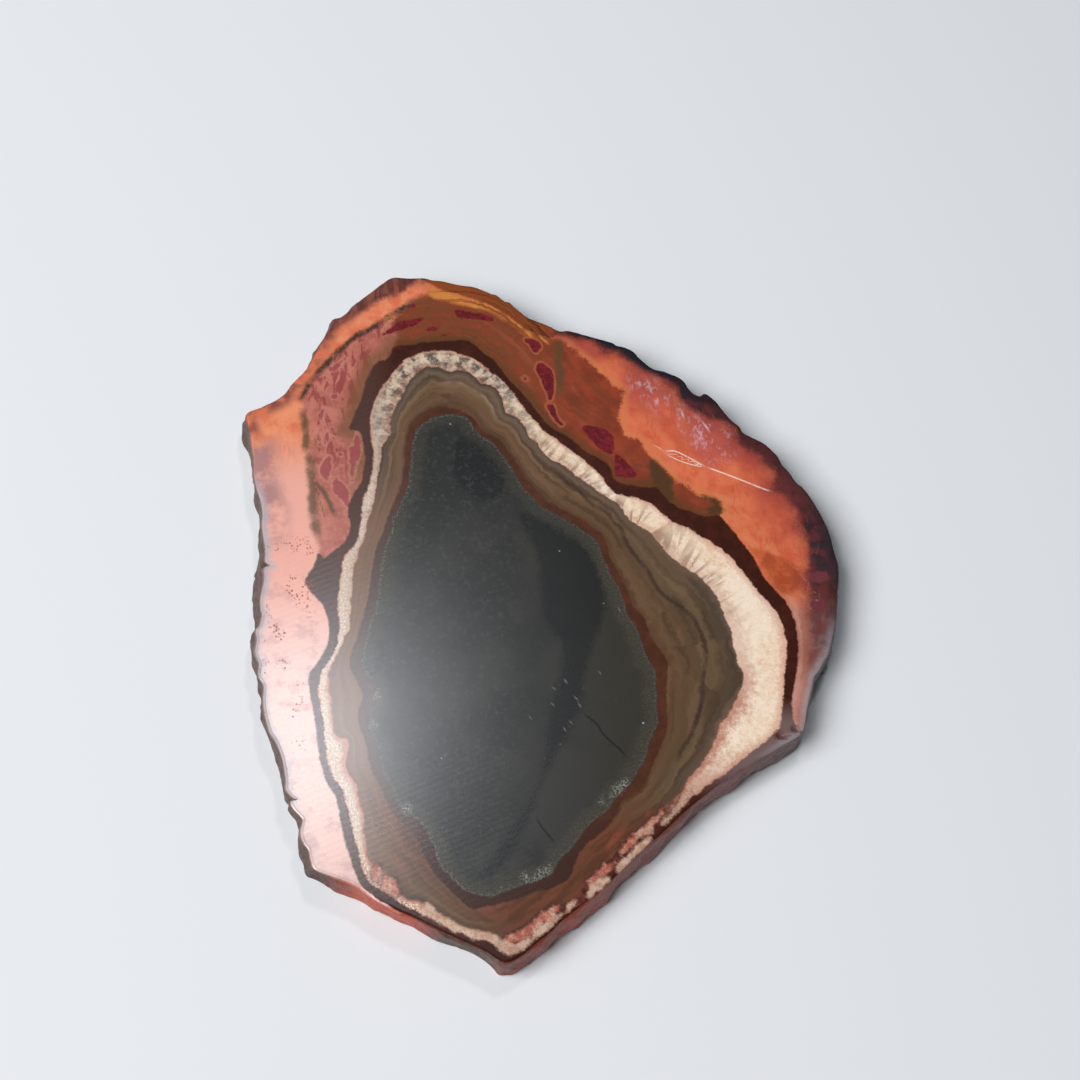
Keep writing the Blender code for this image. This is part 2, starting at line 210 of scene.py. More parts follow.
def insetRow(bm, edges, stationLayer, outward, inset):
    # a new row of points, moved in from an edge loop that is already there
    grown = bmesh.ops.extrude_edge_only(bm, edges=edges)["geom"]
    fresh = {part for part in grown if isinstance(part, bmesh.types.BMVert)}
    for vert in fresh:
        out = outward[vert[stationLayer]]
        vert.co.x -= out[0] * inset
        vert.co.y -= out[1] * inset
    return [part for part in grown if isinstance(part, bmesh.types.BMEdge)
            and part.verts[0] in fresh and part.verts[1] in fresh]


def sliceAcross(bm, faces, axis, step):
    # cuts level faces into strips with planes a step apart
    far = [vert.co[axis] for face in faces for vert in face.verts]
    at = math.ceil(min(far) / step) * step
    normal = Vector([float(k == axis) for k in range(3)])
    done, left = [], list(faces)
    while at < max(far) and left:
        near = set(left)
        for face in left:
            near.update(face.edges)
            near.update(face.verts)
        cut = bmesh.ops.bisect_plane(bm, geom=list(near), dist=sliceTolerance,
                                     plane_co=normal * at, plane_no=normal)["geom"]
        left = []
        for part in cut:
            if isinstance(part, bmesh.types.BMFace):
                (left if part.calc_center_median()[axis] > at else done).append(part)
        at += step
    return done + left


def gridFace(bm, edges, stationLayer, outward, inset, step):
    inner = insetRow(bm, edges, stationLayer, outward, inset)
    whole = bmesh.ops.contextual_create(bm, geom=inner)["faces"]
    return sliceAcross(bm, sliceAcross(bm, whole, 1, step), 0, step)


def sawSlab(stone):
    count = stone["stationsRound"]
    loop = evenStations(smoothCurve(stone["edge"], stone["curveSteps"]), count)
    spacing = math.hypot(*(loop[1, :2] - loop[0, :2]))
    outward = outwardDirections(loop, round(stone["outwardReach"] / spacing))

    bm = bmesh.new()
    station = bm.verts.layers.int.new("station")
    ring = bmesh.ops.create_circle(bm, segments=count, radius=1.0)["verts"]
    for i, vert in enumerate(ring):
        vert[station] = i
        vert.co = (loop[i, 0], loop[i, 1], stone["thickness"])
    row = [bm.edges.get((ring[i], ring[(i + 1) % count])) for i in range(count)]
    cells = gridFace(bm, row, station, outward, stone["faceInset"], stone["faceGrid"])
    rim = set(ring)
    for x, y, halfX, halfY, depth in stone["pits"]:
        for vert in bm.verts:
            away = ((vert.co.x - x) / halfX) ** 2 + ((vert.co.y - y) / halfY) ** 2
            if away < 1 and vert not in rim:
                vert.co.z -= depth * (1 - away) ** 2
    print("polished face sliced into", len(cells), "cells, with", len(stone["pits"]), "pits")

    walls = []
    for depth in stone["wallDepths"]:
        row = insetRow(bm, row, station, outward, 0)
        fresh = {vert for edge in row for vert in edge.verts}
        for vert in fresh:
            x, y, lean = loop[vert[station]]
            push = wallOffset(stone, x, y, depth, lean)
            out = outward[vert[station]]
            vert.co = (x + out[0] * push, y + out[1] * push, stone["thickness"] - depth)
        walls.extend(fresh)
    for chip in stone["chips"]:
        breakChip(stone, loop, outward, walls, chip)
    print("wall broken with", len(stone["chips"]), "chips")

    foot = row
    gridFace(bm, foot, station, outward, stone["undersideInset"], stone["undersideGrid"])
    for edge in foot:
        edge.smooth = False
    for face in bm.faces:
        face.smooth = True
    bmesh.ops.recalc_face_normals(bm, faces=bm.faces)
    return bm


# What is drawn on the stone, in the same millimetres. Each area is one or more outlines; each line
# is a half width and the points it runs through.
bandPattern = {
    "drift": (0.10, 0.07),   # how far the bands lean over for each millimetre of depth
    "areaSteps": 2,
    "lineSteps": 3,
    "edgeSteps": 3,
    "areas": {
        "core": [[
            (-16.5, 22.7), (-15.7, 23.8), (-14.5, 24.8), (-13.3, 25.4), (-12, 25.7), (-11, 25.8),
            (-10, 25.3), (-9.3, 24.4), (-8.5, 23.2), (-6.9, 22.3), (-5.9, 21), (-4.9, 19.9),
            (-4.1, 18.4), (-3.3, 16.8), (-2.3, 15.6), (-1.1, 14.2), (0.3, 13.4), (2.1, 12.4),
            (3.7, 11.6), (5.1, 10.6), (6.2, 9.8), (6.8, 8.4), (7.3, 7), (8.1, 5.2), (8.9, 3.6),
            (9.5, 2.2), (9.8, 0.6), (10.3, -0.6), (11, -1.4), (11.4, -2.6), (11.9, -4.2),
            (12.3, -5.6), (13.1, -6.8), (13.3, -8), (13.3, -11), (13.4, -13), (13.2, -14.4),
            (12.7, -15.6), (12.1, -17), (11.8, -18.5), (11, -20), (10.3, -21.2), (9.5, -22.3),
            (8.5, -23.4), (7.9, -24.2), (7.1, -25.4), (5.7, -26.6), (4.5, -27.8), (3.5, -29.4),
            (2.5, -30.8), (1.3, -32), (0.9, -33.2), (-0.3, -34), (-1.7, -34.6), (-3.1, -35.2),
            (-4.9, -36), (-6.5, -36.7), (-7.7, -36.6), (-9.1, -36.3), (-10.3, -35.4),
            (-11.3, -34.4), (-12.1, -33.6), (-12.7, -32.4), (-12.9, -31.4), (-13.4, -30.6),
            (-13.9, -29.4), (-14.9, -28.2), (-16.1, -27.4), (-17.1, -26.6), (-17.7, -25),
            (-18.5, -23.7), (-19.3, -22.4), (-19.5, -20.6), (-19.9, -19), (-20.7, -17.8),
            (-20.9, -16.4), (-20.5, -15), (-19.7, -14), (-20.1, -12.6), (-20.9, -11.4),
            (-21.7, -10.2), (-22, -9), (-21.9, -7.6), (-21.6, -6), (-21.3, -4.4), (-20.9, -3),
            (-20.5, -1.6), (-20.4, 0), (-20.3, 2), (-20.1, 4), (-19.9, 5.8), (-19.4, 7.4),
            (-19, 9), (-18.9, 10.4), (-18.3, 11.6), (-17.9, 12.8), (-17.3, 14.4), (-17.1, 16),
            (-17.1, 17.4), (-16.9, 19.4), (-16.8, 21),
        ]],
        "ring": [[
            (-17.3, 22.6), (-16.5, 24.3), (-15.5, 25.4), (-14.1, 26.2), (-12.3, 26.6), (-11.1, 26.4),
            (-9.9, 25.8), (-8.9, 25), (-8.2, 24), (-7.5, 23.4), (-5.9, 22.7), (-5.5, 22),
            (-4.5, 20.6), (-3.5, 19), (-2.7, 17.4), (-1.5, 16), (-0.3, 14.8), (1.3, 13.9),
            (3.1, 13.1), (4.5, 12.4), (6.1, 11.4), (7.1, 10.6), (7.6, 9.2), (8, 7.4), (8.9, 5.6),
            (9.7, 4), (10.3, 2.6), (10.6, 1.2), (11.4, 0.5), (12.3, -0.6), (12.6, -2.4),
            (13.5, -3.8), (14.5, -5.2), (14.8, -6.6), (14.6, -8.6), (14.5, -11), (14.6, -13),
            (14.5, -14.6), (14, -16), (13.5, -17.4), (12.7, -19.2), (12.1, -20.6), (11.1, -22.6),
            (9.1, -24), (8.5, -25), (7.7, -26.6), (6.5, -28), (5.1, -29.2), (3.9, -30.6),
            (3.1, -32.4), (2.5, -34), (0.5, -35.2), (-1.5, -35.8), (-3.5, -36.8), (-5.5, -37.4),
            (-7.5, -38), (-8.5, -38.2), (-9.5, -37.6), (-10.5, -36.6), (-11.9, -35.4),
            (-13.1, -34), (-14.2, -32), (-14.9, -30.4), (-16, -29), (-17.4, -28), (-18.3, -26.8),
            (-18.9, -25.2), (-19.7, -23.8), (-20.4, -22.4), (-20.8, -20.6), (-21.2, -19),
            (-21.8, -17.6), (-22.1, -16), (-21.8, -14.6), (-21.6, -13.2), (-22.2, -12),
            (-22.9, -10.8), (-23.3, -9.2), (-23.1, -7.6), (-22.7, -6.4), (-22.3, -4.6), (-21.7, -2),
            (-21.4, 0), (-21.3, 2), (-21.1, 4), (-20.7, 6.4), (-19.9, 8.4), (-19.5, 10.4),
            (-18.7, 12.6), (-18.1, 14.4), (-17.8, 16), (-17.7, 18), (-17.7, 20),
        ]],
        "creamInner": [[
            (-19.6, 22), (-19.7, 23.6), (-19.3, 25.2), (-18.7, 26.8), (-18.1, 28), (-17.7, 29.2),
            (-17.1, 30.4), (-16.3, 31.4), (-15.3, 32.2), (-13.9, 32.4), (-12.5, 31.8),
            (-11.5, 32.2), (-10.1, 32.2), (-8.9, 31.2), (-8.3, 30.6), (-7.3, 30.6), (-6.1, 29.6),
            (-5.5, 28.4), (-5.1, 26.6), (-4.1, 26.4), (-3.5, 25.8), (-2.7, 24.8), (-2.1, 23.4),
            (-1.1, 22.7), (-0.7, 21.8), (0.5, 20.7), (1.7, 20.2), (2.7, 19.7), (3.7, 18.7),
            (4.5, 18.2), (5.5, 17.4), (6.5, 16.7), (7.7, 16), (9.1, 15.2), (9.9, 14), (10.5, 13),
            (11.5, 12.5), (12.7, 11.8), (13.7, 10.8), (14.7, 9.6), (15.7, 8.4), (16.9, 7.4),
            (18.5, 6.6), (19.5, 5.8), (20.3, 4.8), (21.1, 3.6), (21.7, 2.2), (22.3, 0.6), (22.9, -1),
            (23.1, -3), (23.5, -4.2), (23.5, -5.4), (24.2, -6.4), (24, -7.6), (23.5, -9.2),
            (22.7, -10.8), (21.9, -12.4), (21, -13.6), (20.5, -15), (19.9, -16.4), (19.1, -17.8),
            (18.1, -19.2), (16.9, -20.6), (16.3, -21.8), (15.5, -23), (13.5, -24.9), (12.5, -25.9),
            (10.1, -28), (8.4, -30.1), (6.7, -32), (4.8, -33.8), (3.2, -35.9), (1.9, -37.1),
            (0.5, -37.4), (-0.7, -38.2), (-1.7, -39.2), (-2.7, -40.2), (-4.1, -40.8),
            (-5.3, -41.4), (-6.1, -41), (-7.9, -40.7), (-9.5, -40.4), (-11.1, -39.6), (-12.3, -39),
            (-13.3, -38.6), (-14.5, -37.8), (-15.7, -37.8), (-16.7, -37), (-17.3, -35.6),
            (-18.1, -35), (-18.9, -34.2), (-19.9, -34), (-20.3, -33.2), (-20.7, -31.6), (-20.9, -30),
            (-21.1, -28), (-21.7, -26), (-22.1, -24.4), (-23.3, -22.6), (-23.3, -21.6),
            (-23.1, -20.2), (-23.3, -19), (-24.5, -18.8), (-24.9, -17.6), (-25.2, -15.6),
            (-25.5, -13.8), (-25.7, -12.6), (-25.7, -11), (-25.3, -9.6), (-24.7, -8), (-24.1, -6.4),
            (-23.6, -5), (-23.5, -3.6), (-23.6, -1), (-23.5, 0), (-23.4, 2), (-23.3, 3.4),
            (-22.9, 5), (-22.5, 6.4), (-22.1, 8), (-21.9, 9.6), (-21.5, 11.2), (-21.2, 12.8),
            (-21.1, 14), (-21, 15.4), (-20.7, 17), (-20.6, 18.6), (-20.5, 20),
        ]],
        "creamOuter": [[
            (-22, 22), (-22.1, 24), (-21.9, 25.6), (-21.3, 27.4), (-20.7, 28.8), (-19.9, 30.2),
            (-19.1, 31.4), (-18.1, 32.8), (-16.9, 33.8), (-15.9, 34.2), (-14.5, 34.7), (-12.4, 35),
            (-11.1, 34.6), (-9.5, 34.2), (-8.1, 33.2), (-6.7, 32.2), (-5.5, 31.2), (-4.5, 30),
            (-3.5, 28.6), (-2.5, 27.2), (-1.5, 26), (-0.3, 24.6), (0.9, 23.8), (1.9, 23),
            (3.1, 22.1), (4.5, 21.2), (5.7, 20.2), (6.7, 19.2), (7.5, 18), (8.3, 17), (9.5, 16.5),
            (11.1, 16.3), (12.7, 15.9), (13.7, 15.3), (14.7, 14.4), (15.5, 13.6), (16.7, 13.1),
            (17.9, 12.8), (19.1, 12), (20.3, 11.4), (21.5, 10.6), (22.7, 9.6), (23.7, 8.6),
            (24.7, 7.2), (25.7, 6), (26.7, 4.6), (27.9, 3.2), (28.9, 1.8), (29.4, 0.4), (29.7, -1),
            (29.8, -2.4), (29.6, -4.6), (29.3, -6.6), (29.1, -8.6), (28.8, -10.8), (28.5, -12.6),
            (28.1, -13.6), (27.5, -14.2), (26.5, -15.2), (25.3, -16.2), (23.9, -17.4),
            (22.5, -18.6), (21.3, -19.8), (20.1, -20.6), (18.9, -21.6), (17.7, -22.6),
            (16.5, -23.8), (15.3, -25), (14.1, -26.4), (12.7, -27.8), (11.5, -29.2), (9.7, -31),
            (8.1, -32.9), (6.6, -34.3), (4.8, -36.1), (3.1, -37.4), (1.7, -38.2), (0.5, -39.6),
            (-1.1, -41), (-2.5, -42.2), (-3.7, -43.1), (-4.5, -43.2), (-5.6, -42.4), (-6.9, -41.8),
            (-8.3, -41.5), (-9.9, -41), (-11.5, -40.3), (-13.5, -39.4), (-14.5, -39),
            (-15.9, -38.4), (-17.3, -37.6), (-18.5, -36.8), (-19.9, -36), (-20.7, -34.8),
            (-21.2, -33.4), (-21.7, -31.6), (-22.2, -30), (-22.5, -28.4), (-23, -27), (-23.5, -25.2),
            (-24.5, -24), (-24.9, -23), (-25.3, -21.8), (-25.7, -20.2), (-25.9, -18.4),
            (-26.2, -16.6), (-26.5, -14.8), (-26.8, -13), (-26.7, -11.6), (-26.3, -10.4),
            (-25.7, -9.2), (-25.1, -8), (-24.9, -7), (-24.7, -5.6), (-24.9, -3.6), (-25.1, -2),
            (-25, -1), (-24.9, 1), (-24.8, 3), (-24.5, 4.4), (-23.7, 5.6), (-23.1, 7), (-22.8, 8.4),
            (-22.7, 10), (-22.7, 11.8), (-22.3, 13.4), (-21.8, 15.2), (-21.6, 16.6), (-21.6, 18.4),
            (-21.7, 20.4),
        ]],
        "darkBand": [[
            (-24.7, 22), (-24.1, 24), (-23.6, 25.8), (-23.1, 27.8), (-22.7, 29.6), (-22.1, 31.2),
            (-21.5, 32.2), (-20.5, 32.6), (-19.9, 33.4), (-19.6, 34.6), (-18.5, 35.1),
            (-16.9, 35.3), (-15.9, 35.8), (-14.5, 36.1), (-12.5, 36.5), (-10.5, 36.8), (-9.3, 36.3),
            (-8.3, 35.4), (-6.9, 34.4), (-5.9, 33.2), (-4.9, 31.8), (-3.7, 30.4), (-2.5, 29.2),
            (-1.5, 27.8), (-0.5, 26.4), (0.7, 25.2), (1.9, 24.6), (3.3, 23.7), (4.5, 22.7),
            (5.7, 21.8), (7.1, 21.2), (8.1, 20.4), (8.4, 19), (8.9, 18.4), (10.5, 18), (13.1, 18),
            (14.3, 18), (15.5, 16.2), (17.1, 15.4), (18.5, 15), (19.9, 14.6), (21.1, 14.7),
            (21.9, 15.1), (22.7, 14.2), (23.7, 13), (24.5, 11.8), (25.3, 10.6), (26.1, 9.6),
            (26.7, 8.4), (27.3, 7), (28.3, 5.6), (29.5, 4.4), (30.3, 3.2), (30.9, 1.8), (31.2, 0.4),
            (31.3, -1.6), (31.2, -3.4), (31, -5), (30.6, -7), (30.2, -8.8), (30, -11), (30.3, -13),
            (31, -16), (20, -27), (8, -38), (-4.7, -48), (-16, -41), (-16.3, -39.6),
            (-17.3, -38.8), (-18.7, -38), (-20.1, -37), (-21.3, -36), (-21.9, -34.6),
            (-22.3, -33.2), (-22.9, -31.8), (-23.2, -30.4), (-23.6, -29), (-23.9, -27.6),
            (-24.3, -26), (-25.1, -25), (-25.7, -23.6), (-26.1, -22.2), (-26.5, -20.6),
            (-26.8, -18.6), (-27.1, -16.6), (-27.5, -15), (-27.9, -13), (-28, -11.4),
            (-27.5, -10.4), (-26.7, -9), (-26.3, -8), (-25.9, -6.6), (-26, -5), (-26.3, -3.6),
            (-26.7, -2.4), (-27.3, -1.6), (-28.1, -1), (-28.8, 0), (-29, 1), (-28.3, 2.4),
            (-27.9, 3.4), (-27.7, 4.6), (-27, 3.9), (-26.5, 4.4), (-25.7, 5.2), (-24.9, 6),
            (-24.2, 7.2), (-24, 8.6), (-24.3, 10), (-24.2, 11.6), (-23.9, 13), (-23, 14.6),
            (-22.7, 16), (-22.5, 18), (-22.8, 20), (-23.2, 21.6), (-24, 22),
        ]],
        "darkRim": [[
            (1, 40), (2.1, 39), (3.5, 38.6), (5.1, 38.2), (6.5, 37.6), (7.7, 37), (9.1, 37),
            (10.1, 36.6), (11.1, 35.6), (12.3, 34.6), (13.9, 34), (15.5, 33.2), (16.5, 32.4),
            (16.7, 31.4), (18.1, 30), (19.5, 29.4), (21.1, 28.6), (22.7, 28.2), (23.9, 27),
            (24.3, 25.4), (25.9, 24.4), (27.3, 23.6), (27.5, 23), (28.7, 22), (29, 20),
            (28.7, 19.2), (29.5, 18.8), (30.7, 17.6), (31.5, 16.4), (31.6, 14.4), (32.5, 12.6),
            (32.9, 11.2), (32.8, 9.6), (32.5, 8), (32.5, 6), (32.7, 4), (32.4, 2), (32.3, -1.6),
            (32.1, -3.6), (31.8, -5.6), (31.5, -7.6), (31.3, -9.6), (31, -11.4), (30.6, -14),
            (33, -17), (44, -10), (44, 20), (30, 40), (10, 46),
        ]],
        "purpleRim": [[
            (-30, 34), (-27.4, 36), (-26.5, 37.4), (-24.5, 39), (-22.9, 40.4), (-21.5, 41.6),
            (-19.9, 42.6), (-18.7, 43.4), (-17.9, 44.2), (-17.3, 45), (-17, 47), (-24, 46),
            (-30, 40),
        ]],
        "ochreBand": [[
            (-15, 44.4), (-13.5, 44), (-11.5, 43.7), (-9.5, 43.2), (-7.5, 42.5), (-6.1, 41.9),
            (-4.9, 41.2), (-3.9, 40.4), (-2.7, 39.6), (-1.5, 39), (-0.3, 38.6), (0.9, 38.6),
            (0.5, 37.8), (-0.7, 37.8), (-2.3, 38.4), (-3.7, 39), (-4.7, 40.2), (-5.9, 40.6),
            (-7.5, 41.4), (-9.5, 41.8), (-13.5, 42.4), (-15.2, 43),
        ]],
        "topRim": [[
            (-16.4, 46), (-15.2, 44.8), (-13.5, 44), (-11.5, 43.7), (-9.5, 43.2), (-7.5, 42.5),
            (-6.1, 41.9), (-4.9, 41.2), (-3.9, 40.4), (-2.7, 39.6), (-1.5, 39), (-0.3, 38.6),
            (1.2, 38.9), (2, 41), (-4, 45), (-10, 48),
        ]],
        "brickField": [[
            (-17, 43), (-13, 43.2), (-7, 42), (0, 38.6), (2.3, 38.2), (3.9, 36.8), (5.7, 35.4),
            (7.3, 33.8), (8.9, 32.6), (10.1, 31.8), (9.7, 31), (9.7, 29.6), (9.5, 27), (10.1, 25.4),
            (11.3, 24.8), (12.5, 24.1), (13.1, 23), (13.9, 22.2), (15.1, 21), (16.1, 19.8),
            (16.5, 19), (18.1, 18.4), (19.5, 17.8), (20.9, 17.2), (22.1, 17.2), (22.3, 16.2),
            (21.9, 14.6), (16, 10), (0, 18), (-8, 30), (-20, 30), (-20.6, 34.6), (-21.5, 37),
            (-19.4, 39.2),
        ]],
        "orangeShoulder": [[
            (-38, 22), (-34, 27), (-30, 34), (-27.4, 37), (-17.3, 46), (-15.8, 43.8), (-17.3, 42),
            (-18.3, 40.8), (-19.7, 39.6), (-21.1, 38.4), (-22.3, 37.2), (-23.7, 36.2),
            (-24.9, 35), (-25.7, 34), (-26.7, 32.8), (-27.7, 31.4), (-28.7, 29.8), (-29.7, 28.4),
            (-30.3, 27), (-30.9, 25.8), (-31.3, 24), (-30.8, 21.5), (-33, 20.4), (-36, 19.6),
        ]],
        "roseZone": [[
            (-30.6, 25), (-29.5, 28.6), (-27.6, 31.6), (-25.7, 34), (-23.4, 36.4), (-21, 38.4),
            (-19.6, 38), (-19.2, 36.4), (-19.6, 34.6), (-21, 31), (-22, 27), (-23, 22), (-21, 18),
            (-22, 12), (-23, 7), (-26, 4), (-27.2, 3.8), (-27.8, 6), (-28.2, 8.4), (-28.7, 11.6),
            (-28.9, 15), (-29.8, 18.6), (-30.2, 22),
        ]],
        "maroonBlotches": [
            [(-15.9, 39.5), (-16.9, 39.2), (-18.5, 38.8), (-19.5, 38), (-20.5, 37), (-21.1, 36.4),
             (-20.9, 36.2), (-19.3, 37), (-18.1, 37.6), (-16.5, 38.6)],
            [(-15.7, 37.6), (-14.9, 38.2), (-14, 38.2), (-14.5, 37.7)],
            [(-13.7, 37.2), (-12.4, 37.7), (-12.7, 37.2), (-13.5, 36.9)],
            [(-17.7, 41.1), (-17.2, 41.6), (-16.9, 41.2), (-17.3, 40.8)],
            [(-11.9, 41.1), (-11.5, 41.3), (-9.9, 41.1), (-7.7, 41), (-6.8, 40.4), (-7.1, 40.1),
             (-8.9, 40.1), (-11.1, 40.1), (-11.7, 40.5)],
            [(-2.7, 38), (-1.9, 38.1), (-1, 37.8), (-0.7, 37), (-1.1, 36.1), (-1.7, 36.2),
             (-2.1, 37.2), (-2.7, 37.5)],
            [(-1.1, 34.5), (-0.3, 34.6), (0.7, 33.6), (1, 32), (0.9, 30.4), (0.7, 29.3),
             (0.3, 29.3), (-0.1, 30.6), (-0.7, 32.2), (-1.3, 33.4)],
            [(0.1, 28.5), (0.9, 28.6), (1.2, 27.4), (1.9, 26.2), (2.3, 25.9), (1.9, 25.6),
             (1.1, 26.2), (0.5, 27.4), (0.1, 28.1)],
            [(-3, 32), (-2.7, 32.35), (-2.4, 32), (-2.7, 31.7)],
            [(4.6, 25.8), (5.7, 26), (7.3, 25.8), (8.3, 25.2), (8.7, 24.2), (8.7, 23), (8.1, 22.2),
             (6.9, 22.8), (5.9, 23.8), (4.9, 25)],
            [(8.9, 22.2), (9.7, 21.8), (10.5, 21), (11.3, 20.2), (11.5, 19.4), (10.9, 19.1),
             (9.5, 19.1), (8.7, 19.2), (8.7, 20.8)],
        ],
        "mauveBlotches": [
            [(-25.3, 32.4), (-26.2, 31.9), (-27.5, 30.2), (-27.2, 30), (-26.2, 31)],
            [(-26.5, 26.9), (-27, 26.4), (-26.7, 26.2), (-26.3, 26.5)],
            [(-27.9, 25), (-28.4, 24), (-28.3, 22.8), (-27.9, 23.4)],
            [(-28.4, 21.5), (-28.6, 20.4), (-28.3, 19.4), (-27.9, 19.8), (-28.1, 20.8)],
            [(-27.2, 21.5), (-27.7, 20.4), (-27.6, 19.4), (-27.1, 20.2)],
            [(-27, 18), (-27.9, 16.6), (-27.7, 15), (-27, 14.4), (-26.7, 15.4), (-26.7, 17)],
            [(-26, 15.2), (-26.3, 14), (-25.9, 12.8), (-24.7, 11.6), (-24.2, 11), (-24.3, 12.8),
             (-24.7, 14)],
            [(-23.7, 21.8), (-24.1, 20), (-24.5, 18.4), (-24.3, 16.8), (-24, 14.6), (-23.7, 16.8),
             (-23.3, 18.4), (-23.2, 20.4)],
            [(-26, 18.4), (-25.7, 18.7), (-25.4, 18.4), (-25.7, 18.1)],
        ],
        "pinkLenses": [
            [(12.5, -25.9), (11.5, -27), (10.1, -28), (8.9, -29.4), (8.4, -30.4), (8.7, -30.8),
             (9.9, -29.6), (11.1, -28.4), (12.5, -27.8)],
            [(7.9, -31.6), (6.7, -32), (5.5, -33.2), (4.6, -34), (5.1, -34.2), (6.3, -33.4),
             (7.3, -32.8)],
            [(1.9, -37.1), (0.5, -37.4), (-0.7, -38.2), (-1.7, -39.2), (-2.7, -40.2), (-4.1, -40.8),
             (-4.9, -41.5), (-3.6, -41.9), (-2, -40.9), (-0.4, -39.4), (0.9, -38.3)],
            [(13.7, -24.6), (13, -25.6), (12.1, -26.9), (12.7, -26.6), (13.5, -25.3)],
            [(-19.7, -33.8), (-19.9, -34.9), (-19.2, -35.8), (-18.7, -34.9), (-19, -33.9)],
            [(-18.5, -35), (-18.6, -36.4), (-17.2, -37.4), (-16.7, -36.6), (-17.5, -35.3)],
        ],
        "creamLenses": [
            [(12.2, -28.6), (11.9, -28.2), (10.3, -29.4), (9.5, -30.6), (8.5, -31.6), (8.1, -32.8),
             (8.7, -32.7), (10.1, -31), (11.3, -29.8)],
            [(7.1, -33.4), (5.9, -33.8), (5.1, -34.6), (4.6, -36), (5.1, -35.9), (6.3, -34.8),
             (7.2, -34)],
            [(3.3, -36.5), (2.4, -37.1), (2.3, -37.7), (3, -37.2)],
            [(1.7, -38.2), (0.9, -38.3), (-0.4, -39.4), (-2, -40.9), (-3.6, -41.9), (-4.9, -41.5),
             (-5.5, -42.6), (-4.5, -43.2), (-3.7, -43.1), (-2.5, -42.2), (-1.1, -41), (0.5, -39.6)],
            [(-13.5, -37.8), (-12.3, -39), (-11.1, -39.6), (-9.5, -40.4), (-7.9, -40.7),
             (-6.1, -41), (-5.5, -41.7), (-6.9, -41.8), (-8.3, -41.5), (-9.9, -41), (-11.5, -40.3),
             (-13.5, -39.4), (-14.5, -38.8)],
            [(16.3, -23), (15.6, -23.9), (14.5, -25.4), (13.5, -26.4), (13.9, -26.6), (15.2, -25.1),
             (16.6, -23.6)],
        ],
        "olivePatches": [
            [(13.3, 22.3), (14.4, 21.6), (15.6, 20.1), (16.1, 18.8), (15, 18), (13.6, 18.6),
             (13.2, 20.4)],
            [(14.5, 19.5), (16, 18.6), (16.2, 16.6), (15.2, 15.8), (14.3, 17.6)],
            [(20, 17.6), (21.6, 17.3), (22.3, 16.4), (22, 15.1), (21, 14.8), (20.4, 15.6),
             (21.2, 16.4)],
            [(-18.1, -32.2), (-16.8, -31.6), (-15.4, -33.4), (-15, -35), (-16.6, -34.6)],
        ],
        "coreShade": [
            [(-10, 23.4), (-6.4, 21.4), (-4.8, 17), (-7.4, 13.6), (-11.4, 16), (-11.6, 20.4)],
            [(-3.5, 13), (0.3, 11.6), (5, 9), (7, 5), (7, 0), (5.5, -5), (4.5, -9), (4, -13),
             (1, -19), (-1, -23), (-4, -28), (-7, -33), (-8.3, -35), (-5, -33), (-2, -27),
             (-0.6, -22), (0.4, -14), (1.4, -9), (2, -5), (-0.5, -1), (-0.8, 4), (-1.5, 8),
             (-2.7, 10)],
        ],
        "redWedge": [[
            (25.9, 10.6), (28.1, 10.2), (30.7, 9.2), (31.5, 8.4), (32.2, 7), (31.1, 5.2),
            (29.5, 5), (28.4, 6.6), (27.4, 8.6),
        ]],
        "inclusions": [
            [(33.2, 7.0), (33.6, 8.0), (35.4, 8.3), (35.6, 7.4), (34.8, 6.8)],
            [(33.2, 3.6), (33.6, 4.5), (34.6, 4.5), (35, 3.6), (34.6, 2.8), (33.7, 2.7)],
        ],
        "whiteCrystals": [
            [(7.4, -23.8), (7.9, -22.7), (9.4, -21.3), (9.6, -21.9), (8.4, -23.4)],
            [(6, -24.5), (6.4, -23.9), (6.8, -24.6)], [(-2.9, -34), (-2.4, -33.7), (-2, -34.3)],
            [(-16.6, -27.4), (-16.3, -26.3), (-15.6, -26.6), (-15.9, -27.4)],
            [(-20.7, -17.2), (-20.3, -16.2), (-19.8, -16.9)],
            [(-20.5, -13.4), (-20, -12.6), (-19.8, -13.6)],
            [(-2.2, -34.6), (0.2, -33.4), (0.6, -32.4), (-0.6, -33)],
        ],
        "roseField": [
            [(16.6, 31), (19, 29.2), (22.7, 28.2), (24, 26.4), (23.4, 23.4), (21, 22.6),
             (19, 24.4), (17.8, 27)],
            [(12.3, 34.4), (14.9, 33.2), (16.2, 31.8), (14.4, 29.8), (12.6, 31), (11.6, 33)],
        ],
    },
    "lines": {
        "charcoalStreaks": [
            (0.4, [(-17, 42.4), (-18.3, 40.8), (-19.7, 39.6), (-21.1, 38.4), (-22.3, 37.2),
                   (-23.7, 36.2), (-24.9, 35), (-25.7, 34), (-26.7, 32.8), (-27.7, 31.4),
                   (-28.7, 29.8), (-29.7, 28.4), (-30.3, 27), (-30.9, 25.8), (-31.5, 25.2)]),
        ],
        "oliveStreaks": [
            (0.4, [(-30.5, 24.4), (-30.2, 22), (-29.9, 20.4), (-29.9, 18.8), (-29.5, 18)]),
            (0.55, [(-29.6, 18.3), (-29.1, 16.6), (-28.9, 15), (-28.7, 13.2), (-28.7, 11.6),
                    (-28.5, 10), (-28.2, 8.4), (-27.8, 6.6)]),
            (0.3, [(-28.8, 14.6), (-28.3, 14), (-27.3, 12.8), (-26.5, 11.2), (-25.7, 9.6)]),
            (0.5, [(1.3, 38.6), (1.7, 37), (1.5, 35), (1.9, 33), (1.5, 31), (1.7, 29.4)]),
        ],
        "taupeLines": [
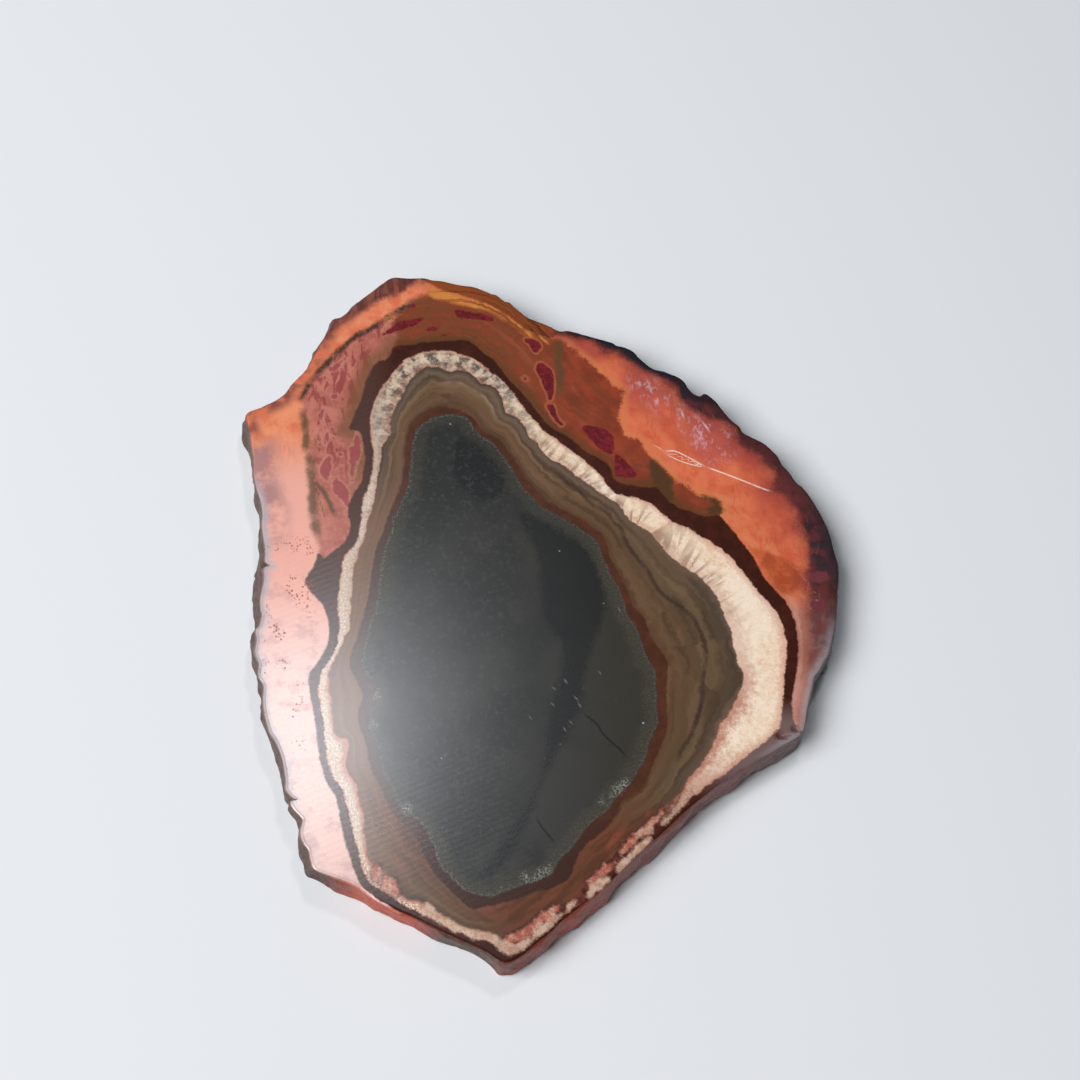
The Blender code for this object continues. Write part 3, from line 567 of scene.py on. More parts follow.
            (0.27, [(1.1, 19), (3.1, 17.2), (4.5, 16), (5.7, 14.8), (7.5, 14), (8.3, 12.8),
                    (9.5, 11.6), (9.9, 10), (10.9, 8.4), (12.6, 6.2), (13.7, 4), (15.1, 2.6),
                    (16.7, 1.6), (18.1, 0.4), (19.1, -1.6), (19.5, -3.6), (19.5, -5.6),
                    (19.1, -7.8), (18.9, -10.2), (18.3, -12.6), (17.5, -14.8), (16.5, -16.6),
                    (15.5, -18.6)]),
        ],
        "paleLines": [
            (0.2, [(-13.5, 30), (-11.5, 30.4), (-9.5, 29.6), (-7.9, 28.6), (-6.9, 27.2),
                   (-6.5, 25.8)]),
        ],
        "salmonStreaks": [
            (0.3, [(9.5, -26.6), (7.7, -29), (6.9, -30.4)]),
            (0.2, [(-4.9, -37.4), (-6.4, -38), (-7.9, -38.4)]),
            (0.2, [(-17.9, -32.4), (-16.8, -33.4), (-15.7, -34.2)]),
            (0.25, [(12.4, -24.8), (11.9, -25.4), (11.5, -26)]),
        ],
        "scratches": [
            (0.08, [(15, 23.4), (16.5, 23.6), (18, 23), (19.2, 22.4), (20.5, 21.75)]),
            (0.06, [(15.3, 23), (17, 22.3), (19, 21.8), (20.5, 21.7)]),
            (0.09, [(20.5, 21.75), (23, 21), (25.5, 20.2), (27.5, 19.5), (29, 19.1)]),
            (0.05, [(13.6, 24.2), (14.4, 23.9), (15, 23.4)]),
        ],
        # white flakes in the rose field, and painted glints: the dashes by the right edge and in the
        # core stand for small pits catching the light
        "flakesAndGlints": [
            (0.12, [(30.8, 9), (31, 8.8)]), (0.12, [(31.6, 8.4), (31.8, 8.2)]),
            (0.12, [(32.2, 7.6), (32.3, 7.4)]), (0.12, [(32.6, 7.1), (32.7, 6.9)]),
            (0.12, [(33, 6.5), (33.1, 6.2)]), (0.12, [(33.8, 5.4), (34, 5.2)]),
            (0.12, [(33.8, 4.3), (34.2, 4.3)]), (0.14, [(17.5, 30), (17.7, 29.2), (18, 28.4)]),
            (0.12, [(20.1, 28.6), (20.8, 27.6), (21.3, 26.8)]), (0.1, [(17.2, 26.7), (17.8, 26.4)]),
            (0.1, [(18.7, 26.4), (19.1, 26.2)]), (0.1, [(19.9, 25.2), (20.2, 24.8)]),
            (0.1, [(21.6, 23.2), (22, 22.8)]), (0.1, [(2.1, -9.2), (2.5, -9.7)]),
            (0.08, [(0.7, -10.4), (1.1, -10.7)]), (0.08, [(3.3, -11.3), (3.8, -11.8)]),
            (0.09, [(3.8, -12.2), (4.1, -12.7)]), (0.08, [(2.7, -14.5), (3.1, -14.9)]),
            (0.08, [(2.0, -15.4), (2.3, -15.9)]), (0.08, [(6.3, -7.8), (6.6, -8.2)]),
            (0.07, [(-2.1, -14.3), (-1.8, -14.7)]), (0.08, [(0.5, -12.4), (0.9, -12.8)]),
            (0.07, [(8.9, 0.8), (9.1, 0.3)]),
        ],
        "cracks": [
            (0.13, [(4.1, -13.3), (5.3, -14.1), (6.1, -14.8), (6.7, -15.8), (7.7, -16.8),
                    (8.7, -17.6), (9.6, -18.7)]),
            (0.13, [(-1.3, -26.6), (-0.7, -27.8), (0.3, -29), (1.1, -30)]),
        ],
    },
    # colours along the stone's edge: a point of the edge and the colour there
    "skinTones": [
        ((-37.2, 22.4), "#3a2028"), ((-30.8, 29.2), "#4a2c20"), ((-21.3, 43.9), "#4a2228"),
        ((-9.3, 45.0), "#4a2418"), ((5.7, 39.35), "#241a1c"), ((22.1, 31.6), "#301c20"),
        ((36.3, 13.4), "#2c2024"), ((35.1, -2.8), "#33262c"), ((31.0, -13.8), "#5a3a38"),
        ((20.6, -21.1), "#80463e"), ((9.8, -31.3), "#8c4238"), ((3.4, -37.5), "#a03a1e"),
        ((-3.1, -43.4), "#8a2c16"), ((-6.0, -43.6), "#5c463c"), ((-11.5, -41.2), "#4a2c20"),
        ((-15.2, -39.6), "#b5482c"), ((-21.3, -36.5), "#a84428"), ((-25.2, -35.2), "#3a1a12"),
        ((-28.0, -30.6), "#4a2c20"), ((-32.8, -16.6), "#4a2c20"), ((-34.1, -2.0), "#4c2e22"),
        ((-35.3, 12.2), "#4a2c20"), ((-36.1, 17.0), "#55482c"),
    ],
    "rimTones": [
        ((1.7, 39.6), "#3a1a16"), ((5.7, 39.35), "#1f1c26"), ((14.0, 35.45), "#211c26"),
        ((20.1, 32.1), "#2c1f26"), ((25.1, 28.1), "#4b2424"), ((30.4, 23.3), "#502828"),
        ((33.1, 20.0), "#542a2a"), ((36.3, 13.4), "#33262c"), ((37.05, 8.0), "#38282c"),
        ((36.5, 4.6), "#5a302c"), ((35.95, 0.2), "#6c5050"), ((34.5, -3.9), "#84605c"),
        ((32.1, -9.8), "#a08078"), ((31.0, -13.8), "#94807e"),
    ],
}


def measureTo(points, curve, closed):
    # distance to a curve, which side of it each point is on, and how far along it that is
    nearest = np.full(len(points), farAway)
    side = np.ones(len(points))
    along = np.zeros(len(points))
    inside = np.zeros(len(points), bool)
    travelled = 0.0
    ends = np.roll(curve, -1, axis=0) if closed else curve[1:]
    for start, end in zip(curve, ends):
        step = end - start
        length = math.hypot(*step)
        ahead = points - start
        share = np.clip(ahead @ step / length**2, 0, 1)
        away = np.hypot(ahead[:, 0] - share * step[0], ahead[:, 1] - share * step[1])
        closer = away < nearest
        nearest[closer] = away[closer]
        along[closer] = travelled + share[closer] * length
        side[closer] = np.sign(step[0] * ahead[closer, 1] - step[1] * ahead[closer, 0])
        if closed:
            crosses = (start[1] > points[:, 1]) != (end[1] > points[:, 1])
            if step[1]:
                inside ^= crosses & (ahead[:, 0] < step[0] * ahead[:, 1] / step[1])
        travelled += length
    if closed:
        side = np.where(inside, -1.0, 1.0)
    return nearest, side, along, travelled


def writeField(mesh, name, values):
    vector = values.ndim == 2
    layer = mesh.attributes.new(name, "FLOAT_VECTOR" if vector else "FLOAT", "POINT")
    layer.data.foreach_set("vector" if vector else "value", values.astype(np.float32).ravel())


def tonesRound(stops, outline, along, total):
    # each point takes its colour from the nearest place on the edge, between two stops there
    places = [measureTo(np.array([spot]), outline, True)[2][0] for spot, _ in stops]
    order = np.argsort(places)
    colours = np.array([tint(stops[k][1])[:3] for k in order])
    return np.column_stack([np.interp(along, np.array(places)[order], colours[:, k], period=total)
                            for k in range(3)])


def markStone(mesh, stone, pattern):
    # how far each point of the mesh is from every marking, for the materials to read
    spots = np.zeros(len(mesh.vertices) * 3)
    mesh.vertices.foreach_get("co", spots)
    spots = spots.reshape(-1, 3)
    depth = stone["thickness"] - spots[:, 2:]
    points = spots[:, :2] - depth * np.array(pattern["drift"])
    fields = {}
    for name, outlines in pattern["areas"].items():
        fields[name] = np.full(len(points), farAway)
        for outline in outlines:
            curve = smoothCurve(outline, pattern["areaSteps"])
            nearest, side, along, _ = measureTo(points, curve, True)
            fields[name] = np.minimum(fields[name], nearest * side)
            if name == "creamOuter":
                roundCream = along
    for name, lines in pattern["lines"].items():
        best = np.full((len(points), 3), farAway)
        for halfWidth, line in lines:
            curve = smoothCurve(line, pattern["lineSteps"], closed=False)
            nearest, side, along, total = measureTo(points, curve, False)
            lead = curve[1] - curve[0]
            tail = curve[-1] - curve[-2]
            fromEnds = np.minimum(
                np.where(along <= 0, (points - curve[0]) @ lead / math.hypot(*lead), along),
                np.where(along >= total, (curve[-1] - points) @ tail / math.hypot(*tail),
                         total - along))
            closer = nearest < best[:, 2]
            best[closer] = np.column_stack([nearest * side / halfWidth, fromEnds, nearest])[closer]
        fields[name] = best
    outline = smoothCurve([point[:2] for point in stone["edge"]], pattern["edgeSteps"])
    nearest, side, along, total = measureTo(spots[:, :2], outline, True)
    fields["edge"] = nearest * side
    fields["skinTone"] = tonesRound(pattern["skinTones"], outline, along, total)
    fields["rimTone"] = tonesRound(pattern["rimTones"], outline, along, total)
    fields["below"] = depth[:, 0]
    ring, inner, outer = (fields[name] for name in ("ring", "creamInner", "creamOuter"))
    # 0 at the inner side of the taupe field, or of the cream band, and 1 at its outer side
    fields["taupeShare"] = np.clip(ring / np.maximum(ring - inner, leastWidth), 0, 1)
    fields["creamShare"] = np.clip(inner / np.maximum(inner - outer, leastWidth), 0, 1)
    fields["roundBands"] = roundCream
    for name, values in fields.items():
        writeField(mesh, name, values)
    print("markings:", len(fields), "fields on", len(points), "points")


class NodeTools:
    # adds nodes to one material; each call gives back the new node's output
    def __init__(self, tree):
        self.tree = tree

    def plug(self, value, socket):
        if isinstance(value, bpy.types.NodeSocket):
            self.tree.links.new(value, socket)
        elif isinstance(value, str):
            socket.default_value = tint(value)
        else:
            socket.default_value = value

    def work(self, operation, *values):
        node = self.tree.nodes.new("ShaderNodeMath")
        node.operation = operation
        for value, socket in zip(values, node.inputs):
            self.plug(value, socket)
        return node.outputs[0]

    def both(self, *amounts):
        # all the amounts multiplied
        total = amounts[0]
        for amount in amounts[1:]:
            total = self.work("MULTIPLY", total, amount)
        return total

    def fade(self, value, start, end, low=0.0, high=1.0):
        # low up to the start, high from the end on, and a smooth change between
        node = self.tree.nodes.new("ShaderNodeMapRange")
        node.interpolation_type = "SMOOTHSTEP"
        for part, socket in zip((value, start, end, low, high), node.inputs):
            self.plug(part, socket)
        return node.outputs[0]

    def lay(self, under, over, *amounts):
        # one colour over another, as strong as all the amounts multiplied
        amount = self.both(*amounts)
        node = self.tree.nodes.new("ShaderNodeMix")
        node.data_type = "RGBA"   # its colour sockets are 6 and 7 in, and 2 out
        self.plug(amount, node.inputs[0])
        self.plug(under, node.inputs[6])
        self.plug(over, node.inputs[7])
        return node.outputs[2]

    def readField(self, name, output="Fac"):
        node = self.tree.nodes.new("ShaderNodeAttribute")
        node.attribute_name = name
        return node.outputs[output]

    def split(self, vector):
        node = self.tree.nodes.new("ShaderNodeSeparateXYZ")
        self.plug(vector, node.inputs[0])
        return node.outputs[0], node.outputs[1], node.outputs[2]

    def gather(self, x, y):
        node = self.tree.nodes.new("ShaderNodeCombineXYZ")
        self.plug(x, node.inputs[0])
        self.plug(y, node.inputs[1])
        return node.outputs[0]

    def cloud(self, at, scale, detail=2.0, roughness=0.5, distortion=0.0):
        node = self.tree.nodes.new("ShaderNodeTexNoise")
        self.plug(at, node.inputs["Vector"])
        node.inputs["Scale"].default_value = scale
        node.inputs["Detail"].default_value = detail
        node.inputs["Roughness"].default_value = roughness
        node.inputs["Distortion"].default_value = distortion
        return node.outputs[0]

    def stretch(self, at, scale=(1, 1, 1), turn=0.0, shift=(0, 0, 0)):
        node = self.tree.nodes.new("ShaderNodeMapping")
        self.plug(at, node.inputs["Vector"])
        node.inputs["Location"].default_value = shift
        node.inputs["Rotation"].default_value = (0, 0, math.radians(turn))
        node.inputs["Scale"].default_value = scale
        return node.outputs[0]

    def specks(self, at, scale, size, shift=(0, 0, 0), soft=0.06):
        # round dots of uneven size: 1 inside, 0 outside
        node = self.tree.nodes.new("ShaderNodeTexVoronoi")
        self.plug(self.stretch(at, shift=shift), node.inputs["Vector"])
        node.inputs["Scale"].default_value = scale
        chance = self.tree.nodes.new("ShaderNodeSeparateColor")
        self.plug(node.outputs["Color"], chance.inputs[0])
        limit = self.work("MULTIPLY", chance.outputs[0], size)
        return self.fade(self.work("SUBTRACT", limit, node.outputs["Distance"]), 0.0, soft)

    def toneRamp(self, value, stops):
        node = self.tree.nodes.new("ShaderNodeValToRGB")
        self.plug(value, node.inputs[0])
        marks = node.color_ramp.elements
        while len(marks) < len(stops):
            marks.new(0.5)
        for mark, (place, code) in zip(marks, stops):
            mark.position = place
            mark.color = tint(code)
        return node.outputs[0]


# The two tones that each part of the stone is mottled with, and the taupe field's contours, from its
# inner side, 0, to its outer side, 1.
jasperTones = {
    "orange": ("#cc5c3c", "#dc7450"), "salmon": ("#dc8058", "#e8946c"),
    "dusty": ("#b07864", "#cc9888"), "roseField": ("#c05c4e", "#8a4044"),
    "redWedge": ("#a04424", "#c05830"), "brick": ("#7c3420", "#944028"),
    "umber": ("#7c4c2e", "#64401f"), "orangeShoulder": ("#d87050", "#ea9068"),
    "roseZone": ("#a85c50", "#c07464"), "ochreBand": ("#cc7840", "#cc8440"),
    "topRim": ("#8a4620", "#4c2410"), "purpleRim": ("#4a2228", "#7c4640"),
    "charcoal": ("#2c221e", "#5a3a28"), "maroonBlotches": ("#5c141a", "#7a2028"),
    "darkBand": ("#381307", "#441a0d"), "cream": ("#e4c2a0", "#f6dec4"),
    "pinkLenses": ("#a85848", "#c4806c"), "creamLenses": ("#b58c76", "#d2b29c"),
    "ring": ("#46220f", "#532a15"), "core": ("#272725", "#33322f"), "halo": ("#3a372e", "#4c473c"),
    "olivePatches": ("#4c3218", "#5a3a20"), "inclusions": ("#7c3c44", "#5a2830"),
    "mauveBlotches": ("#8a343c", "#9c464a"), "creamFoot": ("#6a3024", "#44180e"),
    "taupeFoot": ("#54290f", "#6c3820"), "brokenSkin": ("#1c0f0c", "#a06850"),
    "taupe": [(0.0, "#5a3c26"), (0.12, "#604630"), (0.38, "#5a432e"), (0.5, "#5c4a34"),
              (0.66, "#66523c"), (0.76, "#54422f"), (0.9, "#4e4034"), (1.0, "#6a5444")],
    "upperTaupe": [(0.0, "#4c2c1a"), (0.15, "#604630"), (0.5, "#6b5038"), (0.62, "#786048"),
                   (0.7, "#5a4636"), (0.85, "#6a5848"), (1.0, "#463a30")],
}


def paintBands(tools):
    # every colour of the stone, from the outermost field inwards. Positions, outlines and the edge
    # are in millimetres, and the noises run from 0 to 1.
    work, both, fade, lay, readField = tools.work, tools.both, tools.fade, tools.lay, tools.readField
    cloud, stretch, gather, specks = tools.cloud, tools.stretch, tools.gather, tools.specks
    coords = tools.tree.nodes.new("ShaderNodeTexCoord").outputs["Object"]
    at = stretch(coords, (1 / mm,) * 3, shift=(*jasperSlice["drawnFrom"], 0))
    x, y = tools.split(at)[:2]
    broad = cloud(at, 0.13, 3)
    patchy = cloud(at, 0.45, 4, 0.6)
    wavy = cloud(at, 1.1, 2)
    fine = cloud(at, 4.0, 3, 0.65)
    centred = work("SUBTRACT", wavy, 0.5)
    wobble = work("MULTIPLY_ADD", centred, 0.7, work("MULTIPLY_ADD", fine, 0.4, -0.2))
    ragged = work("MULTIPLY_ADD", patchy, 3.4, work("MULTIPLY_ADD", fine, 1.6, -2.5))

    def mottle(name, *amounts):
        return lay(*jasperTones[name], *amounts)

    def within(name, soft=0.1, grow=0.0, unevenness=1.0, bend=wobble):
        field = work("MULTIPLY_ADD", bend, unevenness, readField(name))
        return fade(field, grow + soft, grow - soft)

    frayed = cloud(stretch(at, shift=(7, 2, 0)), 1.7, 4, 0.7)
    torn = cloud(stretch(at, shift=(3, 8, 0)), 0.55, 5, 0.6)

    def along(name, soft=0.25, unevenness=0.3, broken=0.0):
        # broken from 0 for a whole line to 1 for one with gaps
        side, fromEnds, away = tools.split(readField(name, "Vector"))
        bent = work("ABSOLUTE", work("MULTIPLY_ADD", wobble, unevenness, side))
        near = both(fade(bent, 1 + soft, 1 - soft), fade(fromEnds, -0.3, 1.2))
        return both(near, fade(away, 1.5, 1.0), fade(torn, 0.4, 0.52, 1 - broken, 1))

    taupeShare, creamShare = readField("taupeShare"), readField("creamShare")
    around = readField("roundBands")
    band = readField("darkBand")
    edge = readField("edge")
    # streaks that follow the bands: long round the stone, narrow across it
    slowly = work("MULTIPLY", around, 0.10)
    flow = cloud(gather(slowly, work("MULTIPLY_ADD", centred, 0.6, work("MULTIPLY", band, 0.9))),
                 1.0, 3, 0.55)
    veins = cloud(stretch(at, (1.0, 0.32, 1.0), 28), 0.9, 5, 0.65, 1.2)

    # orange side: lighter by the brick patch, redder outwards, mottled
    orange = mottle("orange", fade(patchy, 0.3, 0.62))
    orange = lay(orange, "#d98a5e", fade(band, 5.0, 1.0), fade(flow, 0.4, 0.6), 0.5)
    orange = lay(orange, "#a84028", fade(veins, 0.54, 0.68), 0.35)
    orange = lay(orange, "#b04a3e", fade(edge, -9.0, -4.5), fade(broad, 0.4, 0.6), 0.8)
    salmon = mottle("salmon", fade(patchy, 0.3, 0.7))
    salmon = lay(salmon, "#c86a4e", fade(veins, 0.5, 0.64), fade(y, 0.0, 12.0), 0.6)
    salmon = lay(salmon, "#eaa796", fade(y, 21.5, 13.0))
    # paler pink lower down: partly the stone's own paler salmon, partly painted reflection of the pale
    # haze on the polish
    salmon = lay(salmon, "#e6c2b8", fade(y, 2.0, -12.0), fade(wobble, -0.4, 0.4, 0.6, 1))
    salmon = lay(salmon, "#b88888", fade(y, 6.0, -2.0), fade(patchy, 0.5, 0.66), 0.5)
    mauve = both(fade(edge, -4.2, -1.5), fade(y, 3.0, 9.0), fade(y, 23.0, 18.0),
                 fade(patchy, 0.3, 0.6))
    salmon = lay(salmon, "#9c7074", mauve, 0.8)
    colour = lay(orange, salmon, fade(x, -12.0, -20.0))
    dusty = mottle("dusty", fade(flow, 0.4, 0.6))
    colour = lay(colour, dusty, fade(y, 6.0, 1.0), fade(x, 20.0, 26.0))
    rose = mottle("roseField", fade(edge, -5.5, -2.5), fade(patchy, 0.35, 0.55), 0.8)
    colour = lay(colour, rose, within("roseField", 1.6, 0.2, 0.6, ragged), 0.7)
    flakes = fade(cloud(stretch(at, (1.0, 0.6, 1.0), -25), 1.3, 5, 0.75), 0.5, 0.64)
    flaked = both(flakes, within("roseField", 1.4, 0.4), fade(edge, -8.0, -5.0, 0.35, 1.0))
    colour = lay(colour, "#d0a0a8", flaked, 0.85)
    wedge = mottle("redWedge", fade(patchy, 0.4, 0.6))
    colour = lay(colour, wedge, within("redWedge", 0.5, 0.2), 0.85)

    # brown and brick field over the top, olive by the dark band
    brick = mottle("brick", fade(patchy, 0.3, 0.65))
    brick = lay(brick, "#6a3c24", fade(flow, 0.48, 0.66), 0.6)
    umber = mottle("umber", fade(patchy, 0.35, 0.6))
    brick = lay(brick, umber, fade(x, 3.0, -4.0), fade(frayed, 0.65, 0.35), 0.8)
    brick = lay(brick, "#553a1c", fade(band, 1.8, 0.2), fade(flow, 0.3, 0.5), 0.7)
    brick = lay(brick, "#9a5238", fade(flow, 0.42, 0.3), 0.5)
    colour = lay(colour, "#d07c4c", within("brickField", 0.5, 0.8), 0.6)
    colour = lay(colour, brick, within("brickField", 0.3, 0.0, 0.8, ragged))
    shoulder = mottle("orangeShoulder", fade(patchy, 0.35, 0.62))
    shoulder = lay(shoulder, "#8c4a3c", fade(edge, -2.0, -0.4), fade(patchy, 0.35, 0.6))
    colour = lay(colour, shoulder, within("orangeShoulder", 0.6))
    roseZone = mottle("roseZone", fade(patchy, 0.35, 0.65))
    roseZone = lay(roseZone, "#c08a74", fade(frayed, 0.52, 0.66), 0.35)
    roseZone = lay(roseZone, "#8c3438", fade(veins, 0.5, 0.56), fade(y, 10.0, 20.0), 0.75)
    roseZone = lay(roseZone, "#7a5034", fade(band, 2.4, 0.6), fade(y, 10.0, 18.0), 0.8)
    colour = lay(colour, roseZone, within("roseZone", 0.5))
    ochre = mottle("ochreBand", fade(patchy, 0.4, 0.6))
    ochre = lay(ochre, "#8a4820", fade(flow, 0.48, 0.6))
    colour = lay(colour, ochre, within("ochreBand", 0.35))
    brownRim = mottle("topRim", fade(flow, 0.46, 0.64))
    colour = lay(colour, brownRim, within("topRim", 0.2))
    purple = mottle("purpleRim", fade(veins, 0.4, 0.62))
    colour = lay(colour, purple, within("purpleRim", 0.5, 0.2, 0.5, ragged), 0.9)
    colour = lay(colour, mottle("olivePatches", patchy), within("olivePatches", 0.4))
    rim = lay(readField("rimTone", "Color"), "#180c10", fade(patchy, 0.45, 0.7), 0.5)
    rim = lay(rim, "#6a2c2e", fade(torn, 0.42, 0.6), fade(edge, -0.6, -1.6), 0.7)
    rim = lay(rim, "#a86a62", fade(veins, 0.56, 0.7), fade(edge, -0.8, -2.5), 0.5)
    colour = lay(colour, "#8a3c34", within("darkRim", 1.5, 0.7, 0.6, ragged), 0.55)
    colour = lay(colour, rim, within("darkRim", 0.8, -0.5, 0.7, ragged))
    colour = lay(colour, mottle("inclusions", fine), within("inclusions", 0.15))

    colour = lay(colour, "#5a4426", along("oliveStreaks", 0.7, 2.0, 0.3), 0.85)
    charcoal = mottle("charcoal", fade(frayed, 0.5, 0.38))
    colour = lay(colour, charcoal, along("charcoalStreaks", 0.7, 2.4, 0.45), 0.92)
    halos = both(within("maroonBlotches", 0.15, 0.26, 0.8), fade(x, -6.0, -2.0), fade(x, 5.0, 3.0))
    colour = lay(colour, "#a85c3c", halos, 0.8)
    maroon = mottle("maroonBlotches", fade(frayed, 0.4, 0.6))
    colour = lay(colour, maroon, within("maroonBlotches", 0.1, 0.0, 0.7))
    colour = lay(colour, "#c88c78", within("mauveBlotches", 0.15, 0.22, 1.2), frayed, 0.9)
    colour = lay(colour, mottle("mauveBlotches", patchy),
                 within("mauveBlotches", 0.15, 0.0, 1.3), 0.85)

    dark = mottle("darkBand", fade(torn, 0.42, 0.62))
    dark = lay(dark, "#4c3028", fade(x, -19.0, -23.0))
    dark = lay(dark, "#7c6464", fade(x, 17.0, 24.0), fade(y, -9.0, -13.0), 0.8)
    colour = lay(colour, dark, within("darkBand", 0.15, 0.0, 0.7))

    # cream band: soft ribs across it, grey clouds at the broad end, pink on its sides
    ribs = cloud(gather(work("MULTIPLY", around, 1.15), work("MULTIPLY", creamShare, 0.7)), 1.0, 2, 0.5)
    cream = mottle("cream", fade(frayed, 0.34, 0.6))
    cream = lay(cream, "#fcebd8", fade(broad, 0.4, 0.6), 0.6)
    cream = lay(cream, "#b9977a", fade(fine, 0.52, 0.74), 0.35)
    combed = both(fade(y, 4.0, 9.0), fade(y, 40.0, 14.0, 0.5, 1.0), fade(x, 21.0, 17.0))
    cream = lay(cream, "#a5846c", fade(ribs, 0.52, 0.38), combed, 0.42)
    atTop = fade(y, 12.0, 24.0)
    cream = lay(cream, "#c6b29c", atTop, fade(x, 2.0, -8.0), 0.6)
    cloudy = cloud(stretch(at, shift=(4, 9, 0)), 0.8, 5, 0.66)
    grey = fade(work("MULTIPLY_ADD", ribs, 0.35, cloudy), 0.58, 0.8)
    cream = lay(cream, "#4e4a45", grey, atTop, fade(x, 2.0, -8.0, 0.25, 0.95))
    teeth = both(fade(ribs, 0.52, 0.4), fade(creamShare, 0.75, 0.1), fade(y, -2.0, 5.0))
    cream = lay(cream, "#6b503e", teeth, 0.5)
    cream = lay(cream, "#ac9a8c", fade(x, -19.0, -22.0), fade(fine, 0.35, 0.6, 0.3, 0.8))
    blush = work("MULTIPLY_ADD", fine, 0.25, creamShare)
    cream = lay(cream, "#cf9480", fade(blush, 0.92, 1.1), 0.6)
    inner = work("MULTIPLY_ADD", frayed, 0.7, blush)
    cream = lay(cream, "#b5705c", fade(inner, 0.95, 0.5), fade(y, -2.0, -12.0, 0.35, 0.85))
    cream = lay(cream, "#6c5040", specks(at, 0.7, 0.09, (3, 1, 0)), 0.6)
    reach = work("MULTIPLY_ADD", frayed, 7.0, y)
    cream = lay(cream, "#a8604c", fade(reach, -11.0, -18.0), fade(x, -4.0, 2.0), 0.6)
    lower = both(fade(reach, -17.5, -22.5), fade(x, -8.0, -4.0))
    cream = lay(cream, mottle("creamFoot", fade(wavy, 0.4, 0.6)), lower)
    leftFoot = both(fade(y, -30.0, -36.0), fade(x, -5.0, -9.0), fade(fine, 0.4, 0.6))
    cream = lay(cream, "#a0685a", leftFoot, 0.9)
    colour = lay(colour, cream, within("creamOuter", 0.14, 0.0, 0.9))

    # taupe field between the cream and the ring, in faint contours
    slowly = work("MULTIPLY", around, 0.06)
    layers = work("MULTIPLY_ADD", centred, 0.9, work("MULTIPLY", taupeShare, 5.0))
    contour = cloud(gather(slowly, layers), 1.0, 3, 0.5)
    share = work("MULTIPLY_ADD", centred, 0.16, taupeShare)
    taupe = tools.toneRamp(share, jasperTones["taupe"])
    upper = tools.toneRamp(share, jasperTones["upperTaupe"])
    taupe = lay(taupe, upper, fade(y, 8.0, 18.0))
    taupe = lay(taupe, "#7c6048", fade(contour, 0.5, 0.64), 0.35)
    taupe = lay(taupe, "#3e2a1c", fade(contour, 0.48, 0.36), 0.5)
    taupe = lay(taupe, "#86644e", fade(x, -14.0, -20.0), fade(y, 18.0, 8.0), 0.6)
    reddish = both(fade(y, -20.0, -30.0), fade(work("ADD", x, y), -54.0, -42.0))
    taupe = lay(taupe, mottle("taupeFoot", fade(flow, 0.4, 0.6)), reddish, 0.85)
    colour = lay(colour, taupe, within("creamInner", 0.12, 0.0, 0.9))
    colour = lay(colour, "#38241a", along("taupeLines", 0.7, 3.2, 0.4), 0.75)
    colour = lay(colour, "#9c8468", along("paleLines", 0.8, 2.4, 0.5), 0.4)

    pink = mottle("pinkLenses", fade(frayed, 0.42, 0.58))
    cut = mottle("creamLenses", fade(frayed, 0.4, 0.6))
    pink = lay(pink, cut, fade(cloud(at, 0.7, 3, 0.6), 0.5, 0.6), 0.8)
    colour = lay(colour, "#3c1c12", within("pinkLenses", 0.2, 0.35, 1.4), 0.6)
    colour = lay(colour, cut, within("creamLenses", 0.25, 0.05, 1.4), 0.9)
    colour = lay(colour, pink, within("pinkLenses", 0.25, 0.0, 1.4), 0.9)
    colour = lay(colour, "#8c4432", along("salmonStreaks", 0.8, 2.4, 0.6), 0.65)

    ringTone = mottle("ring", fade(torn, 0.4, 0.6))
    ringTone = lay(ringTone, "#38190a", fade(y, -22.0, -32.0))
    ringTone = lay(ringTone, "#4c362c", fade(x, -12.0, -18.0), fade(y, 18.0, 6.0))
    colour = lay(colour, ringTone, within("ring", 0.14, 0.0, 0.7))

    core = work("MULTIPLY_ADD", wobble, 0.8, readField("core"))
    stoneGrey = mottle("core", fade(broad, 0.35, 0.65))
    stoneGrey = lay(stoneGrey, "#312f26", fade(x, 2.0, 8.0), 0.8)
    stoneGrey = lay(stoneGrey, "#1f201f", fade(y, 6.0, 18.0), 0.7)
    stoneGrey = lay(stoneGrey, "#151617", within("coreShade", 0.7, 0.0, 1.4), 0.75)
    haloTone = mottle("halo", fade(fine, 0.4, 0.65))
    halo = fade(work("MULTIPLY_ADD", patchy, 2.2, core), -1.2, 0.3)
    stoneGrey = lay(stoneGrey, haloTone, halo, fade(y, 14.0, 4.0, 0.5, 0.75))
    lining = both(fade(core, -0.5, -0.15), fade(fine, 0.45, 0.6), fade(x, 2.0, -12.0, 0.3, 0.8))
    stoneGrey = lay(stoneGrey, "#86837a", lining, 0.45)
    powder = fade(cloud(at, 7.0, 2, 0.7), 0.66, 0.74)
    stoneGrey = lay(stoneGrey, "#8a8c88", powder, 0.2)
    stoneGrey = lay(stoneGrey, "#484b4a", fade(frayed, 0.5, 0.7), fade(x, 2.0, -8.0), 0.45)
    colour = lay(colour, stoneGrey, within("core", 0.1, 0.0, 0.8))
    inCore = fade(core, 0.0, -0.5)
    crystal = both(within("whiteCrystals", 0.4, 0.1, 1.6), fade(fine, 0.44, 0.66))
    colour = lay(colour, "#b4b6ae", crystal, 0.6)
    # painted glints: scattered pale specks in the core stand for small pits catching the light
    colour = lay(colour, "#b8bab4", specks(at, 0.42, 0.09), inCore, 0.8)
    colour = lay(colour, "#0e1012", along("cracks", 0.5, 0.6), 0.85)
    scratch = both(along("scratches", 0.9, 0.8), fade(fine, 0.35, 0.55, 0.35, 0.9))
    colour = lay(colour, "#f6e6dc", scratch)
    # white flakes, and painted glints where the dashes stand for pits catching the light
    colour = lay(colour, "#d8c8cc", along("flakesAndGlints", 0.9, 3.0), 0.75)

